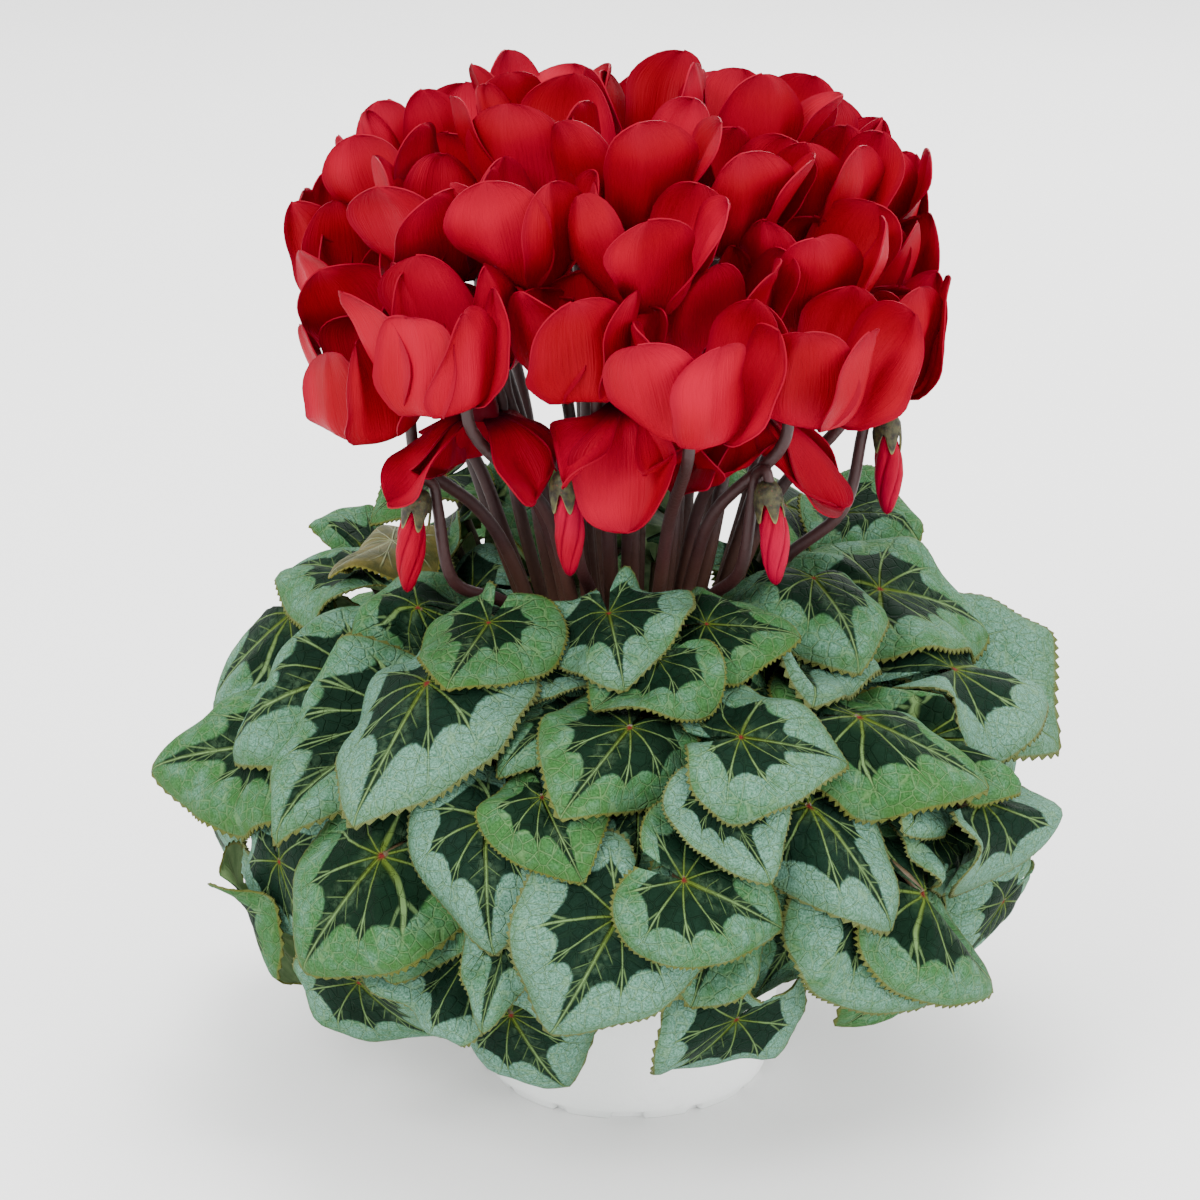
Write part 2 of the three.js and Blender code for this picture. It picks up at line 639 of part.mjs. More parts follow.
// Leaves next to each other round the plant share a trunk, and sprays that would cross are one spray.
function leafSprays(inTheWay, stalkLines) {
  const grid = bladeGrid();
  const field = makeField();
  for (const line of stalkLines) coverStalk(field, line);
  const draw = dice(FAR_SEED + 1);
  const leaves = leafPlaces()
    .reverse()
    .map((place) => {
      const character = {
        fold: LEAF.fold * (0.5 + 1.1 * draw()),
        curl: LEAF.curl * (0.3 + 1.2 * draw()),
        wave: LEAF.wave * (0.5 + draw()),
        phase: 2 * Math.PI * draw(),
      };
      const leaf = leafFrame(place, character);
      const upper = layBlade(leaf, grid, field);
      return { leaf, joint: upper[0], blade: bladeSolid(leaf, grid, upper) };
    });
  const turnOf = (entry) => Math.atan2(entry.joint.y, entry.joint.x);
  leaves.sort((a, b) => turnOf(a) - turnOf(b));
  const stalks = [];
  const sprays = [];
  for (let i = 0; i < SPRAY.most; i++) {
    const from = Math.round((i * leaves.length) / SPRAY.most);
    const to = Math.round(((i + 1) * leaves.length) / SPRAY.most);
    const trunk = trunkAt(i);
    const stub = [trunk.foot, trunk.foot.clone().addScaledVector(trunk.out, SPRAY.trunkLength)];
    const solids = [tube(stub, [SPRAY.trunkRadius, SPRAY.trunkRadius * 0.9], 4)];
    const earlier = [...inTheWay, ...stalks];
    for (const entry of leaves.slice(from, to)) {
      const others = leaves.filter((other) => other !== entry).map((other) => other.blade);
      const stalk = petioleSolid(entry.leaf, entry.joint, trunk, [...others, ...earlier]);
      stalks.push(stalk);
      solids.push(entry.blade.add(stalk));
    }
    sprays.push(join(solids));
  }
  for (let i = 0; i < sprays.length; i++)
    for (let j = i + 1; j < sprays.length; j++)
      if (crosses(sprays[i], sprays[j])) {
        sprays[i] = sprays[i].add(sprays[j]);
        sprays.splice(j, 1);
        j = i;
      }
  return sprays;
}

// The flower's own axes: its petals point along up, and its stalk passes below it on the slot side.
function flowerFrame(flower) {
  const mouth = V(...flower.mouth);
  const flat = V(mouth.x, mouth.y, 0);
  const reach = flat.length();
  const outward = flat.normalize();
  const tilt = radians(TILT.most * Math.min(1, reach / TILT.at) * (flower.hangs ? 0.3 : 1));
  const up = UP.clone().multiplyScalar(Math.cos(tilt)).addScaledVector(outward, Math.sin(tilt));
  const slot = outward.clone().multiplyScalar(-Math.cos(tilt)).addScaledVector(UP, Math.sin(tilt));
  const third = up.clone().cross(slot);
  const body = flower.hangs ? mouth.clone().addScaledVector(up, -12) : mouth.clone().addScaledVector(up, 19);
  const { hangs = false, turns = PETAL_TURNS, swing = 0 } = flower;
  return { mouth, up, slot, third, reach, body, hangs, turns, swing };
}

// The stalk's line: out of the tuber's crown, gathered in the mound's opening, then up beside the mouth and over.
function stalkLine(frame, hookPoints, belowMouth, bundle) {
  const flat = V(frame.mouth.x, frame.mouth.y, 0);
  const share = frame.reach / HEAD_RADIUS;
  const outward = flat.normalize();
  const foot = outward
    .clone()
    .multiplyScalar(STALK.crown * share)
    .addScaledVector(UP, TUBER.middle + TUBER.half * STALK.sunk);
  const gather = outward.clone().multiplyScalar(bundle.gather * Math.min(1, share * 1.15));
  gather.z = bundle.gatherHeight;
  const rest = belowMouth.clone().sub(gather);
  const lead = gather.clone().addScaledVector(rest, 0.45);
  lead.addScaledVector(outward, -0.06 * frame.reach);
  for (const point of [gather, lead]) point.applyAxisAngle(UP, radians(frame.swing ?? 0));
  return [foot, gather, bezier(gather, lead, lead, belowMouth, 0.5), belowMouth, ...hookPoints];
}

function flowerStalk(frame) {
  const at = (out, high) => frame.mouth.clone().addScaledVector(frame.slot, out).addScaledVector(frame.up, high);
  const hook = [at(HOOK.out, 3), at(HOOK.out * 0.62, 10), at(HOOK.out * 0.1, HOOK.over), at(0, HOOK.end)];
  return stalkLine(frame, hook, at(HOOK.out, -HOOK.below), STALK);
}

function stalkSolid(points) {
  const last = points.length - 1;
  const radii = points.map((_, i) => (i < 4 ? STALK.radius : STALK.hookRadius));
  radii[last] = STALK.hookRadius * 1.5;
  return tube(points, radii, STALK.sides);
}

// The flat walls half way to each neighbouring flower, and the lowest that any petal hangs.
function wallsRound(frame, frames) {
  const walls = frames
    .filter((other) => other !== frame)
    .map((other) => {
      const apart = other.body.clone().sub(frame.body);
      const far = apart.length();
      return { normal: apart.normalize(), far: far / 2 - PETAL.clear };
    });
  walls.push({ normal: UP.clone().negate(), far: frame.body.z - LOWEST_PETAL });
  return walls.map((wall) => ({ normal: wall.normal, at: wall.normal.dot(frame.body) + wall.far, room: wall.far }));
}

// The flat walls that keep a petal to its own side of each stretch of stalk and each bud near it.
function wallsBeside(middle, lines) {
  const walls = [];
  for (const { points, radius } of lines)
    for (let i = 0; i + 1 < points.length; i++) {
      const spot = new THREE.Line3(points[i], points[i + 1]).closestPointToPoint(middle, true, V(0, 0, 0));
      const apart = spot.sub(middle);
      const far = apart.length();
      if (far > PETAL.length) continue;
      const normal = apart.normalize();
      const room = Math.max(far - radius - PETAL.clear, 0.5);
      walls.push({ normal, at: normal.dot(middle) + room, room });
    }
  return walls;
}

// A petal pressed against a wall eases along it rather than passing through.
function keepInside(point, walls) {
  for (const wall of walls) {
    const ease = wall.room * (1 - PETAL.soft);
    const past = point.dot(wall.normal) - (wall.at - ease);
    if (past > 0) point.addScaledVector(wall.normal, ease * (1 - Math.exp(-past / ease)) - past);
  }
  for (let pass = 0; pass < 4; pass++)
    for (const wall of walls) point.addScaledVector(wall.normal, Math.min(0, wall.at - point.dot(wall.normal)));
  return point;
}

// How wide a petal is along its length, as a share of its full width.
function petalWidth(t) {
  const body = 0.11 + 0.89 * smooth(0.06, 0.6, t);
  const tip = t > 0.7 ? Math.sqrt(Math.max(0, 1 - ((t - 0.7) / 0.3) ** 2)) : 1;
  return body * tip;
}

// A point on a petal: t runs from the root to the tip and c from edge to edge.
function petalPoint(petal, t, c) {
  let out = PETAL.rootRadius;
  let high = 0;
  let angle = 0;
  const steps = 24;
  for (let i = 0; i < steps; i++) {
    const s = (t * (i + 0.5)) / steps;
    angle = radians(mix(SPREAD.start, petal.rise, smooth(0, SPREAD.bend, s)) - petal.arch * s * s);
    out += (Math.cos(angle) * petal.length * t) / steps;
    high += (Math.sin(angle) * petal.length * t) / steps;
  }
  const half = (PETAL.width / 2) * petal.broad * petalWidth(t);
  const twist = radians(petal.twist) * smooth(0, 0.6, t);
  const across = half * c;
  const cup = petal.cup * c * c * half + petal.wave * Math.sin(9 * t + petal.phase) * c * t;
  const sideways = across * Math.cos(twist) - cup * Math.sin(twist);
  const off = across * Math.sin(twist) + cup * Math.cos(twist);
  return { out: out - off * Math.sin(angle), high: high + off * Math.cos(angle), sideways };
}

function petalsOf(frame, draw) {
  const base = frame.hangs ? SPREAD.hanging : SPREAD.upright;
  return frame.turns.map((turn) => ({
    turn: turn + 5 * (draw() - 0.5),
    rise: 90 - base - 2 * SPREAD.vary * (draw() - 0.5),
    arch: 18 * (draw() - 0.3),
    length: PETAL.length * (frame.hangs ? 0.92 : 1) * (0.93 + 0.14 * draw()),
    broad: 0.88 + 0.24 * draw(),
    twist: 20 + 24 * draw(),
    cup: 0.34 * (draw() - 0.35),
    wave: 2.2 * draw(),
    phase: 6.28 * draw(),
  }));
}

function freeSpot(frame, petal, t, c) {
  const { out, high, sideways } = petalPoint(petal, t, c);
  const turn = radians(petal.turn);
  const radial = frame.slot.clone().multiplyScalar(Math.cos(turn)).addScaledVector(frame.third, Math.sin(turn));
  const lateral = frame.third.clone().multiplyScalar(Math.cos(turn)).addScaledVector(frame.slot, -Math.sin(turn));
  const spot = frame.mouth.clone().addScaledVector(radial, out).addScaledVector(lateral, sideways);
  return spot.addScaledVector(frame.up, high);
}

function petalSpot(frame, petal, walls, t, c) {
  const spot = freeSpot(frame, petal, t, c);
  return t > 0.04 ? keepInside(spot, walls) : spot;
}

// A petal's two sheets of points, the outer and the inner, in rows from its root.
function petalSheets(frame, petal, walls) {
  const at = (t, c) => petalSpot(frame, petal, walls, t, c);
  const [root, waist, crest] = PETAL_ROWS;
  const middle = [
    ...[at(root, -1), at(root, 1)],
    ...[at(waist, -1), at(waist, 0), at(waist, 1)],
    ...[at(crest, -1), at(1, 0), at(crest, 1)],
  ];
  const normals = middle.map(() => V(0, 0, 0));
  for (const [a, b, c] of PETAL_FACES) {
    const ab = middle[b].clone().sub(middle[a]);
    const normal = ab.cross(middle[c].clone().sub(middle[a]));
    for (const corner of [a, b, c]) normals[corner].add(normal);
  }
  const half = PETAL.thick / 2;
  const outer = middle.map((p, i) => p.clone().addScaledVector(normals[i].normalize(), half));
  const inner = middle.map((p, i) => p.clone().addScaledVector(normals[i], -half));
  return [...outer, ...inner];
}

// The faces of a petal's sheets and of its edge, all but the root, which stays open.
function petalShell(first, sheet) {
  const faces = [];
  for (const [a, b, c] of PETAL_FACES) {
    faces.push([first + a, first + b, first + c]);
    faces.push([first + a + sheet, first + c + sheet, first + b + sheet]);
  }
  for (let i = 0; i + 1 < PETAL_EDGE.length; i++) {
    const [a, b] = [first + PETAL_EDGE[i], first + PETAL_EDGE[i + 1]];
    faces.push([a, b, b + sheet], [a, b + sheet, a + sheet]);
  }
  return faces;
}

function petalsCross(one, other) {
  const sheet = one.length / 2;
  const cap = [
    [1, 0, sheet],
    [1, sheet, sheet + 1],
  ];
  const [a, b] = [one, other].map((points) => solidFromFaces(points, [...petalShell(0, sheet), ...cap]));
  return crosses(a, b);
}

// Petals overlap like a fan, but two that would cross are kept to their own sides of a wall between them.
function partedPetals(frame, walls, lines, draw) {
  const petals = petalsOf(frame, draw);
  const spotOf = (petal) => keepInside(freeSpot(frame, petal, 0.3, 0), walls);
  const own = petals.map((petal) => [...walls, ...wallsBeside(spotOf(petal), lines)]);
  const sheets = petals.map((petal, k) => petalSheets(frame, petal, own[k]));
  for (let k = 0; k + 1 < petals.length; k++) {
    if (!petalsCross(sheets[k], sheets[k + 1])) continue;
    const [from, to] = [spotOf(petals[k]), spotOf(petals[k + 1])];
    const normal = to.clone().sub(from).normalize();
    const halfway = from.add(to).multiplyScalar(0.5).dot(normal);
    own[k].push({ normal, at: halfway - PETAL.thick, room: 1 });
    own[k + 1].push({ normal: normal.clone().negate(), at: -halfway - PETAL.thick, room: 1 });
    sheets[k] = petalSheets(frame, petals[k], own[k]);
    sheets[k + 1] = petalSheets(frame, petals[k + 1], own[k + 1]);
  }
  return sheets;
}

// The flower is one skin: petals that open out of the foot of its short tube, which nods over the end of the stalk.
function flowerSolid(frame, walls, lines, draw) {
  const petals = partedPetals(frame, walls, lines, draw);
  const sheet = petals[0].length / 2;
  const count = petals.length;
  const points = petals.flat();
  const faces = [];
  const corner = (k, side, inner) => (k % count) * 2 * sheet + side + (inner ? sheet : 0);
  for (let k = 0; k < count; k++) {
    faces.push(...petalShell(corner(k, 0, false), sheet));
  }
  const top = points.length;
  for (const turn of frame.turns.map(radians)) {
    const radial = frame.slot.clone().multiplyScalar(Math.cos(turn)).addScaledVector(frame.third, Math.sin(turn));
    points.push(
      frame.mouth.clone().addScaledVector(radial, NOSE.topRadius).addScaledVector(frame.up, NOSE.height),
    );
  }
  const foot = [];
  for (let k = 0; k < count; k++) {
    const next = (k + 1) % count;
    foot.push(corner(k, 0, false), corner(k, 1, false));
    faces.push([corner(k, 1, false), corner(next, 0, false), corner(next, 0, true)]);
    faces.push([corner(k, 1, false), corner(next, 0, true), corner(k, 1, true)]);
    faces.push([corner(k, 0, true), corner(k, 1, true), top + k]);
    faces.push([corner(k, 1, true), corner(next, 0, true), top + next], [corner(k, 1, true), top + next, top + k]);
  }
  for (let i = 1; i + 1 < foot.length; i++) faces.push([foot[0], foot[i + 1], foot[i]]);
  for (let k = 1; k + 1 < count; k++) faces.push([top, top + k, top + k + 1]);
  return solidFromFaces(points, faces);
}

// A bud hangs from its hook: furled petals, twisted round each other into a pointed spindle.
function budFrame(bud) {
  const mouth = V(...bud.mouth);
  const reach = Math.hypot(mouth.x, mouth.y);
  const outward = V(mouth.x, mouth.y, 0).normalize();
  const down = V(bud.lean, 0, -1).normalize();
  return { mouth, reach, outward, down };
}

// The bud's stalk ends in the calyx, which is a short, wide stretch of it.
function budStalk(frame) {
  const at = (out, high) => frame.mouth.clone().addScaledVector(frame.outward, out).addScaledVector(UP, high);
  const hook = [at(-8, 0), at(-6.2, 8), at(-1.6, 10.4), at(0, 7), at(0, 5.4), at(0, 0.4)];
  return stalkLine(frame, hook, at(-14, -26), BUD_STALK);
}

function budStalkSolid(points) {
  const radii = points.map((_, i) => (i < 4 ? BUD_STALK.radius : STALK.hookRadius));
  const last = points.length - 1;
  radii[last - 1] = CALYX.top;
  radii[last] = CALYX.foot;
  return tube(points, radii, BUD_STALK.sides);
}

function budSolid(frame) {
  const points = [];
  const faces = [];
  const around = 2 * BUD.ribs;
  const side = V(1, 0, 0);
  side.addScaledVector(frame.down, -side.dot(frame.down)).normalize();
  const third = frame.down.clone().cross(side);
  const rows = BUD.shape.length;
  for (let i = 0; i < rows; i++)
    for (let k = 0; k < around; k++) {
      const turn = (2 * Math.PI * k) / around + radians((BUD.twist * i) / rows);
      const radius = BUD.radius * BUD.shape[i] * (k % 2 ? BUD.furrow : 1);
      const spot = frame.mouth.clone().addScaledVector(frame.down, (BUD.length * i) / (rows - 1));
      points.push(spot.addScaledVector(side, radius * Math.cos(turn)).addScaledVector(third, radius * Math.sin(turn)));
    }
  for (let i = 0; i + 1 < rows; i++)
    for (let k = 0; k < around; k++) {
      const a = i * around + k;
      const b = i * around + ((k + 1) % around);
      faces.push([a, b, b + around], [a, b + around, a + around]);
    }
  const last = (rows - 1) * around;
  for (let k = 1; k + 1 < around; k++) faces.push([0, k + 1, k], [last, last + k, last + k + 1]);
  return solidFromFaces(points, faces);
}

const two = (i) => String(i + 1).padStart(2, "0");
const plant = new THREE.Group();
const tub = pot();
plant.add(meshOf("pot", tub, COLOURS.pot, 0.45));
plant.add(meshOf("soil", soil(), COLOURS.soil, 0.95));

const flowerFrames = FLOWERS.map(flowerFrame);
const budFrames = BUDS.map(budFrame);
const flowerLines = flowerFrames.map(flowerStalk);
const budLines = budFrames.map(budStalk);
const stalks = join([tuber(), ...flowerLines.map(stalkSolid), ...budLines.map(budStalkSolid)]);
plant.add(meshOf("tuber_and_flower_stalks", stalks, COLOURS.stalk, 0.6));

const petalDraw = dice(PETAL.seed);
const budAxes = budFrames.map((frame) => ({
  points: [frame.mouth, frame.mouth.clone().addScaledVector(frame.down, BUD.length)],
  radius: BUD.radius,
}));
const stalkAxes = [...flowerLines, ...budLines].map((points) => ({ points, radius: STALK.radius }));
flowerFrames.forEach((frame, i) => {
  const walls = wallsRound(frame, flowerFrames);
  const ownBend = { points: flowerLines[i].slice(0, -2), radius: STALK.radius };
  const lines = [...stalkAxes.filter((_, k) => k !== i), ownBend, ...budAxes];
  const solid = flowerSolid(frame, walls, lines, petalDraw);
  plant.add(meshOf(`flower_${two(i)}`, solid, COLOURS.petal, 0.5));
});
budFrames.forEach((frame, i) => plant.add(meshOf(`bud_${two(i)}`, budSolid(frame), COLOURS.bud, 0.45)));

leafSprays([tub, stalks], [...flowerLines, ...budLines]).forEach((spray, i) =>
  plant.add(meshOf(`leaf_spray_${two(i)}`, spray, COLOURS.leaf, 0.6)),
);

export default plant;
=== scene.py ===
"""The looks of a potted cyclamen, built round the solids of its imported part.

A mound of toothed, silver-edged leaves lies under a dome of crimson flowers on brown stalks, in a white
nursery pot. The sizes are in millimetres, as in the part's source, and become metres where a mesh is made.
"""
import math
from functools import partialmethod
import bmesh
import bpy
import numpy as np
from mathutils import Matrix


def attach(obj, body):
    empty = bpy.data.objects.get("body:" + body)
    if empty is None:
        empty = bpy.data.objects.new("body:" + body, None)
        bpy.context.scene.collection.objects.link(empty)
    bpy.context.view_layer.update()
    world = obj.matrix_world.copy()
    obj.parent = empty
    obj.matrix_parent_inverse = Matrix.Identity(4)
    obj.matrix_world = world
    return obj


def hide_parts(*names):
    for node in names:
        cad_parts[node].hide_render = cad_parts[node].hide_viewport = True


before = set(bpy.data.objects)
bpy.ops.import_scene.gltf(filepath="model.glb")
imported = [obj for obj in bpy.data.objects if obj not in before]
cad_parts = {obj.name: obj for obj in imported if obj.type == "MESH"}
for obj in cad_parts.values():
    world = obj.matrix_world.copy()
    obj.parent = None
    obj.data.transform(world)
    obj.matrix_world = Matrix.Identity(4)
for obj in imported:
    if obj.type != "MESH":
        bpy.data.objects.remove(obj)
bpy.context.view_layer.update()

MM = 0.001
UP = np.array([0.0, 0.0, 1.0])
RIGHT = np.array([1.0, 0.0, 0.0])
RADIANS = math.pi / 180
FULL_TURN = 6.28

# Where the photograph was taken from, and how large it shows the plant
VIEW_ELEVATION, VIEW_DISTANCE = 18, 1400
VIEW_TARGET = np.array([-9.0, 0.0, 167.0])
PIXELS_PER_MM, PHOTO_PIXELS, SENSOR = 3.03, 1200, 36

# The studio's lamps: place in metres, turn in degrees, width in metres and strength in watts
LIGHTS = [
    ("key_light", (-0.9, -1.5, 1.5), (45, 0, -31), 0.9, 42),
    ("fill_light", (1.5, -1.1, 0.8), (62, 0, 54), 1.2, 21),
    ("top_light", (0.1, 0.3, 1.9), (0, 0, 0), 1.0, 29),
    ("back_light", (0.4, 1.8, 1.1), (-58, 0, -12), 1.0, 16),
]
SKY_STRENGTH, FLOOR_REACH = 2.1, 5000

# The pot, its foot and its filling
POT_HEIGHT, POT_BASE, POT_RIM, POT_WALL, POT_FLOOR = 93, 47, 60, 1.6, 2.4
BAND_HEIGHT, BAND_PROUD = 9, 1.6
FOOT_HEIGHT, FOOT_TUCK, FOOT_BEND = 9, 2.2, 4
NOTCHES, NOTCH_INSIDE, NOTCH_SLOPE = 12, 42, 1.2
WIDE_NOTCH, NARROW_NOTCH = (11, 2.8), (4.5, 2.0)
SOIL_TOP, SOIL_SHOWN, SOIL_LUMPS, SOIL_SEED = 84, 4.5, 150, 31
TUBER_MIDDLE, TUBER_RADIUS, TUBER_HALF = 82, 26, 15
TRUNKS, TRUNK_LIFT = 21, 30

# The leaf mound is an ellipsoid: the outermost leaves lie on it, and the others are tucked in under them.
MOUND_MIDDLE = np.array([0.0, 0.0, 95.0])
MOUND_REACH, MOUND_RISE = 153, 103
SHORTEST_LEAF, LONGEST_LEAF = 30, 54
LEAF_THICK, LEAF_CLEAR, LEAF_FOLLOW, LOWERED_WHOLE = 0.55, 1.0, 0.4, 0.12
FOLD, CURL, WAVE, FRILL, QUILT, DROOP = 0.22, 0.2, 0.1, 0.035, 0.028, 0.12
# How far a tip lifts off the mound, a leaf tilts to one side, its lobes cup up, and its very rim turns down
LIFT, ROLL, CUP, RIM_DOWN = 0.2, 0.42, 0.18, 0.026
# What is drawn for each leaf: a size, and the shares of it between which the leaf's own lies
LEAF_FORMS = dict(
    fold=(FOLD, 0.5, 1.6), curl=(CURL, 0.3, 1.5), wave=(WAVE, 0.5, 1.5), phase=(2 * math.pi, 0, 1),
)
LEAF_BENDS = dict(
    droop=(DROOP, 0.5, 1.5), frill=(FRILL, 0.2, 1.2), lift=(LIFT, -0.1, 0.9), roll=(ROLL, -0.5, 0.5),
    cup=(CUP, -0.2, 1.2),
)
# Leaves at the flanks, which face away by less than this, tilt their faces to the front by this share.
FLANK, FLANK_ROLL = 0.75, 0.5

# Leaves that the photograph shows, innermost first: joint and tip in its pixels, and width over length
SEEN_LEAVES = [
    (640, 800, 638, 905, 1.1), (578, 715, 602, 800, 1.1), (765, 680, 742, 785, 1.1),
    (835, 765, 850, 865, 1.1), (452, 800, 432, 900, 1.1), (432, 984, 333, 992, 1.0),
    (405, 893, 368, 1000, 1.0), (370, 858, 297, 976, 1.05), (264, 733, 147, 771, 0.95),
    (308, 654, 198, 745, 1.0), (348, 532, 281, 516, 1.0), (446, 476, 372, 500, 1.0),
    (352, 560, 274, 566, 1.0), (392, 541, 335, 584, 0.6), (410, 600, 307, 665, 0.95),
    (336, 690, 268, 847, 0.75), (532, 980, 566, 1057, 1.15), (491, 942, 481, 1036, 0.75),
    (479, 820, 481, 963, 1.0), (742, 902, 698, 1034, 0.95), (618, 922, 546, 1048, 1.05),
    (540, 797, 579, 878, 1.1), (562, 694, 485, 761, 0.9), (630, 724, 559, 829, 1.1),
    (895, 918, 955, 1009, 1.0), (938, 898, 998, 987, 0.9), (985, 830, 1010, 914, 1.1),
    (820, 806, 906, 935, 0.95), (962, 768, 934, 822, 1.0), (1002, 800, 1072, 778, 0.8),
    (975, 728, 1047, 762, 1.1), (685, 882, 798, 935, 1.05), (732, 795, 776, 883, 1.05),
    (966, 664, 1042, 655, 1.0), (869, 713, 994, 792, 1.0), (846, 596, 832, 690, 0.9),
    (847, 508, 939, 521, 1.0), (893, 578, 1012, 616, 0.95), (522, 640, 601, 640, 1.1),
    (422, 680, 358, 837, 0.95), (743, 736, 858, 756, 1.1), (824, 565, 883, 643, 1.0),
    (709, 618, 807, 632, 1.1), (659, 650, 589, 704, 1.2), (608, 607, 624, 677, 1.3),
    (486, 619, 448, 700, 1.05),
]
# Which of them is seen from below
OLIVE_LEAF = 13

# Rows of leaves round the far side: height on the mound, count, from and to in degrees, and length
FAR_ROWS = [
    (-25, 3, -48, 50, 50), (-3, 5, -74, 76, 52), (18, 4, -62, 66, 54), (38, 5, -84, 82, 52),
    (58, 3, -48, 44, 46),
]
# More rows lie deeper in the mound, all round, and close it: height, count, depth and length.
DEEP_ROWS = [
    (-14, 12, 0.87, 40), (6, 12, 0.85, 46), (28, 11, 0.84, 48), (50, 8, 0.84, 44), (60, 8, 0.78, 40),
]
FAR_SEED, DEEP_SEED = 2027, 511

# Distance from the joint to the margin at every 20 degrees from the tip, as a share of the leaf's length
HEART = [1, 0.8, 0.705, 0.665, 0.655, 0.65, 0.625, 0.58, 0.5, 0.32]
HEART_STEP = 20
CLEFT = 171
ROUND, RINGS = 80, 14
SHOWN_RINGS = [1, 3, 5, 7, 9, 11, 12, 13]
TOOTH = 0.032
# Veins leave the joint this many degrees apart, and sweep towards the tip by this share.
VEIN_STEP, VEIN_SWEEP = 37, 0.33
PETIOLE_THICK, PETIOLE_REACH = 1.5, 25
# Below this height, and all the more over the next stretch, a leaf's stalk arches up and over the pot's rim.
ARCH_BELOW, ARCH_STRETCH, ARCH_UP, ARCH_OVER = 125, 70, 22, 58

# Flowers by where their mouths are
FLOWERS = [
    (-56, -72, 255), (-77, -42, 238), (-12, -66, 258), (21, -84, 249), (56, -62, 248), (81, -18, 246),
    (-46, -50, 244), (0, -54, 249), (39, -33, 240), (-79, -8, 259), (-54, -28, 283), (-29, -46, 285),
    (3, -54, 280), (27, -44, 263), (53, -26, 268), (75, 10, 259), (-87, 20, 266), (-68, 14, 286),
    (31, -14, 288), (57, 8, 283), (76, 40, 277), (-56, 46, 289), (-26, -2, 300), (2, -22, 297),
    (8, 26, 302), (38, 27, 299), (56, 62, 284), (-26, 40, 300), (-56, 76, 266), (8, 68, 290),
    (-22, 90, 266), (-46, -47, 261), (-11, -38, 266),
]
# Which stalks swing round the plant, by how many degrees
SWINGS = {0: 12, 4: -12}
# Petals stand at these turns from the stalk's side. Other flowers' stalks pass between those that hang.
EVEN_TURNS = (60, 120, 180, 240, 300)
HANGING_TURNS = {6: (75, 115, 160, 266, 330), 7: (135, 180, 225, 290, 330), 8: (75, 120, 170, 215, 262)}
# Buds by where their mouths are, and how far each leans
BUDS = [((-67, -48, 212), -0.15), ((-20, -62, 222), 0.05), ((44, -56, 217), 0.1), ((84, -8, 226), 0)]
BUD_LENGTH, BUD_RADIUS, BUD_RIBS, BUD_TWIST, SEPAL_THICK = 27, 4.8, 5, 100, 0.5

PETAL_LENGTH, PETAL_WIDTH, PETAL_THICK, PETAL_ROOT = 48, 35, 0.5, 4.8
PETAL_CLEAR, PETAL_SOFT, HANGING_SOFT, PETAL_EVEN, PETAL_SEED = -3, 0.6, 0.8, 4, 77
PETAL_ROWS, TIP_ROWS, PETAL_COLUMNS, TIP_FROM = 20, 8, 12, 0.68
UPRIGHT, HANGING, SPREAD_VARY, SPREAD_START, SPREAD_BEND = 17, 140, 9, -25, 0.28
LOWEST_PETAL, FARTHEST_PETAL, RIGHTMOST_PETAL = 206, 108, 102
# What is drawn for each petal, in the same way
PETAL_FORMS = dict(
    turn=(5, -0.5, 0.5), rise=(SPREAD_VARY, 1, -1), arch=(18, -0.3, 0.7),
    length=(PETAL_LENGTH, 0.93, 1.07), broad=(1, 0.88, 1.12), twist=(1, 20, 44), cup=(0.34, -0.35, 0.65),
    wave=(1, 1.2, 4.2), phase=(FULL_TURN, 0, 1),
)
# A hanging petal's difference in rise from the next, its reach, and its length and twist beside the others'
HANGING_STAGGER, HANGING_REACH, HANGING_LENGTH, HANGING_TWIST = 8, 22, 0.88, 0.25
TILT, TILT_AT, HEAD_RADIUS = 11, 90, 105
STALK_THICK, HOOK_THICK, CROWN, CROWN_SUNK, GATHER, GATHER_HEIGHT = 2.05, 1.5, 11, 0.72, 46, 190
BUD_GATHER, BUD_GATHER_HEIGHT = 46, 168
HOOK_OUT, HOOK_BELOW, HOOK_OVER, HOOK_END = 9, 14, 12.6, 7.7
# Beyond this distance from the plant's axis, leaves keep out of this reach round a stalk and this far under.
STALK_BEYOND, STALK_SPACE, STALK_UNDER = 38, 5, 4


def unit(v):
    return v / np.linalg.norm(v, axis=-1, keepdims=True)


def mix(a, b, t):
    return a + (b - a) * t


def smooth(low, high, x):
    t = np.clip((x - low) / (high - low), 0, 1)
    return t * t * (3 - 2 * t)


def round_up(v, degrees):
    """The vector turned about the plant's upright axis."""
    c, s = math.cos(math.radians(degrees)), math.sin(math.radians(degrees))
    return np.array([c * v[0] - s * v[1], s * v[0] + c * v[1], v[2]])


def dice(seed):
    """A repeatable draw of numbers from 0 to 1."""
    state = [seed]

    def draw():
        state[0] = state[0] * 16807 % 2147483647
        return state[0] / 2147483647

    return draw


def drawn(forms, draw):
    """Amounts by name, each a size times a share of it that is drawn between two."""
    return {name: size * mix(low, high, draw()) for name, (size, low, high) in forms.items()}


def bezier(a, b, c, d, t):
    t = np.asarray(t)[..., None]
    s = 1 - t
    return s**3 * a + 3 * s * s * t * b + 3 * s * t * t * c + t**3 * d


def placed(spots, *steps):
    """Where points come to by steps of their own lengths, each in one direction."""
    for length, direction in steps:
        spots = spots + np.asarray(length)[..., None] * direction
    return spots


def full_circle(around):
    return np.arange(around) * 2 * math.pi / around


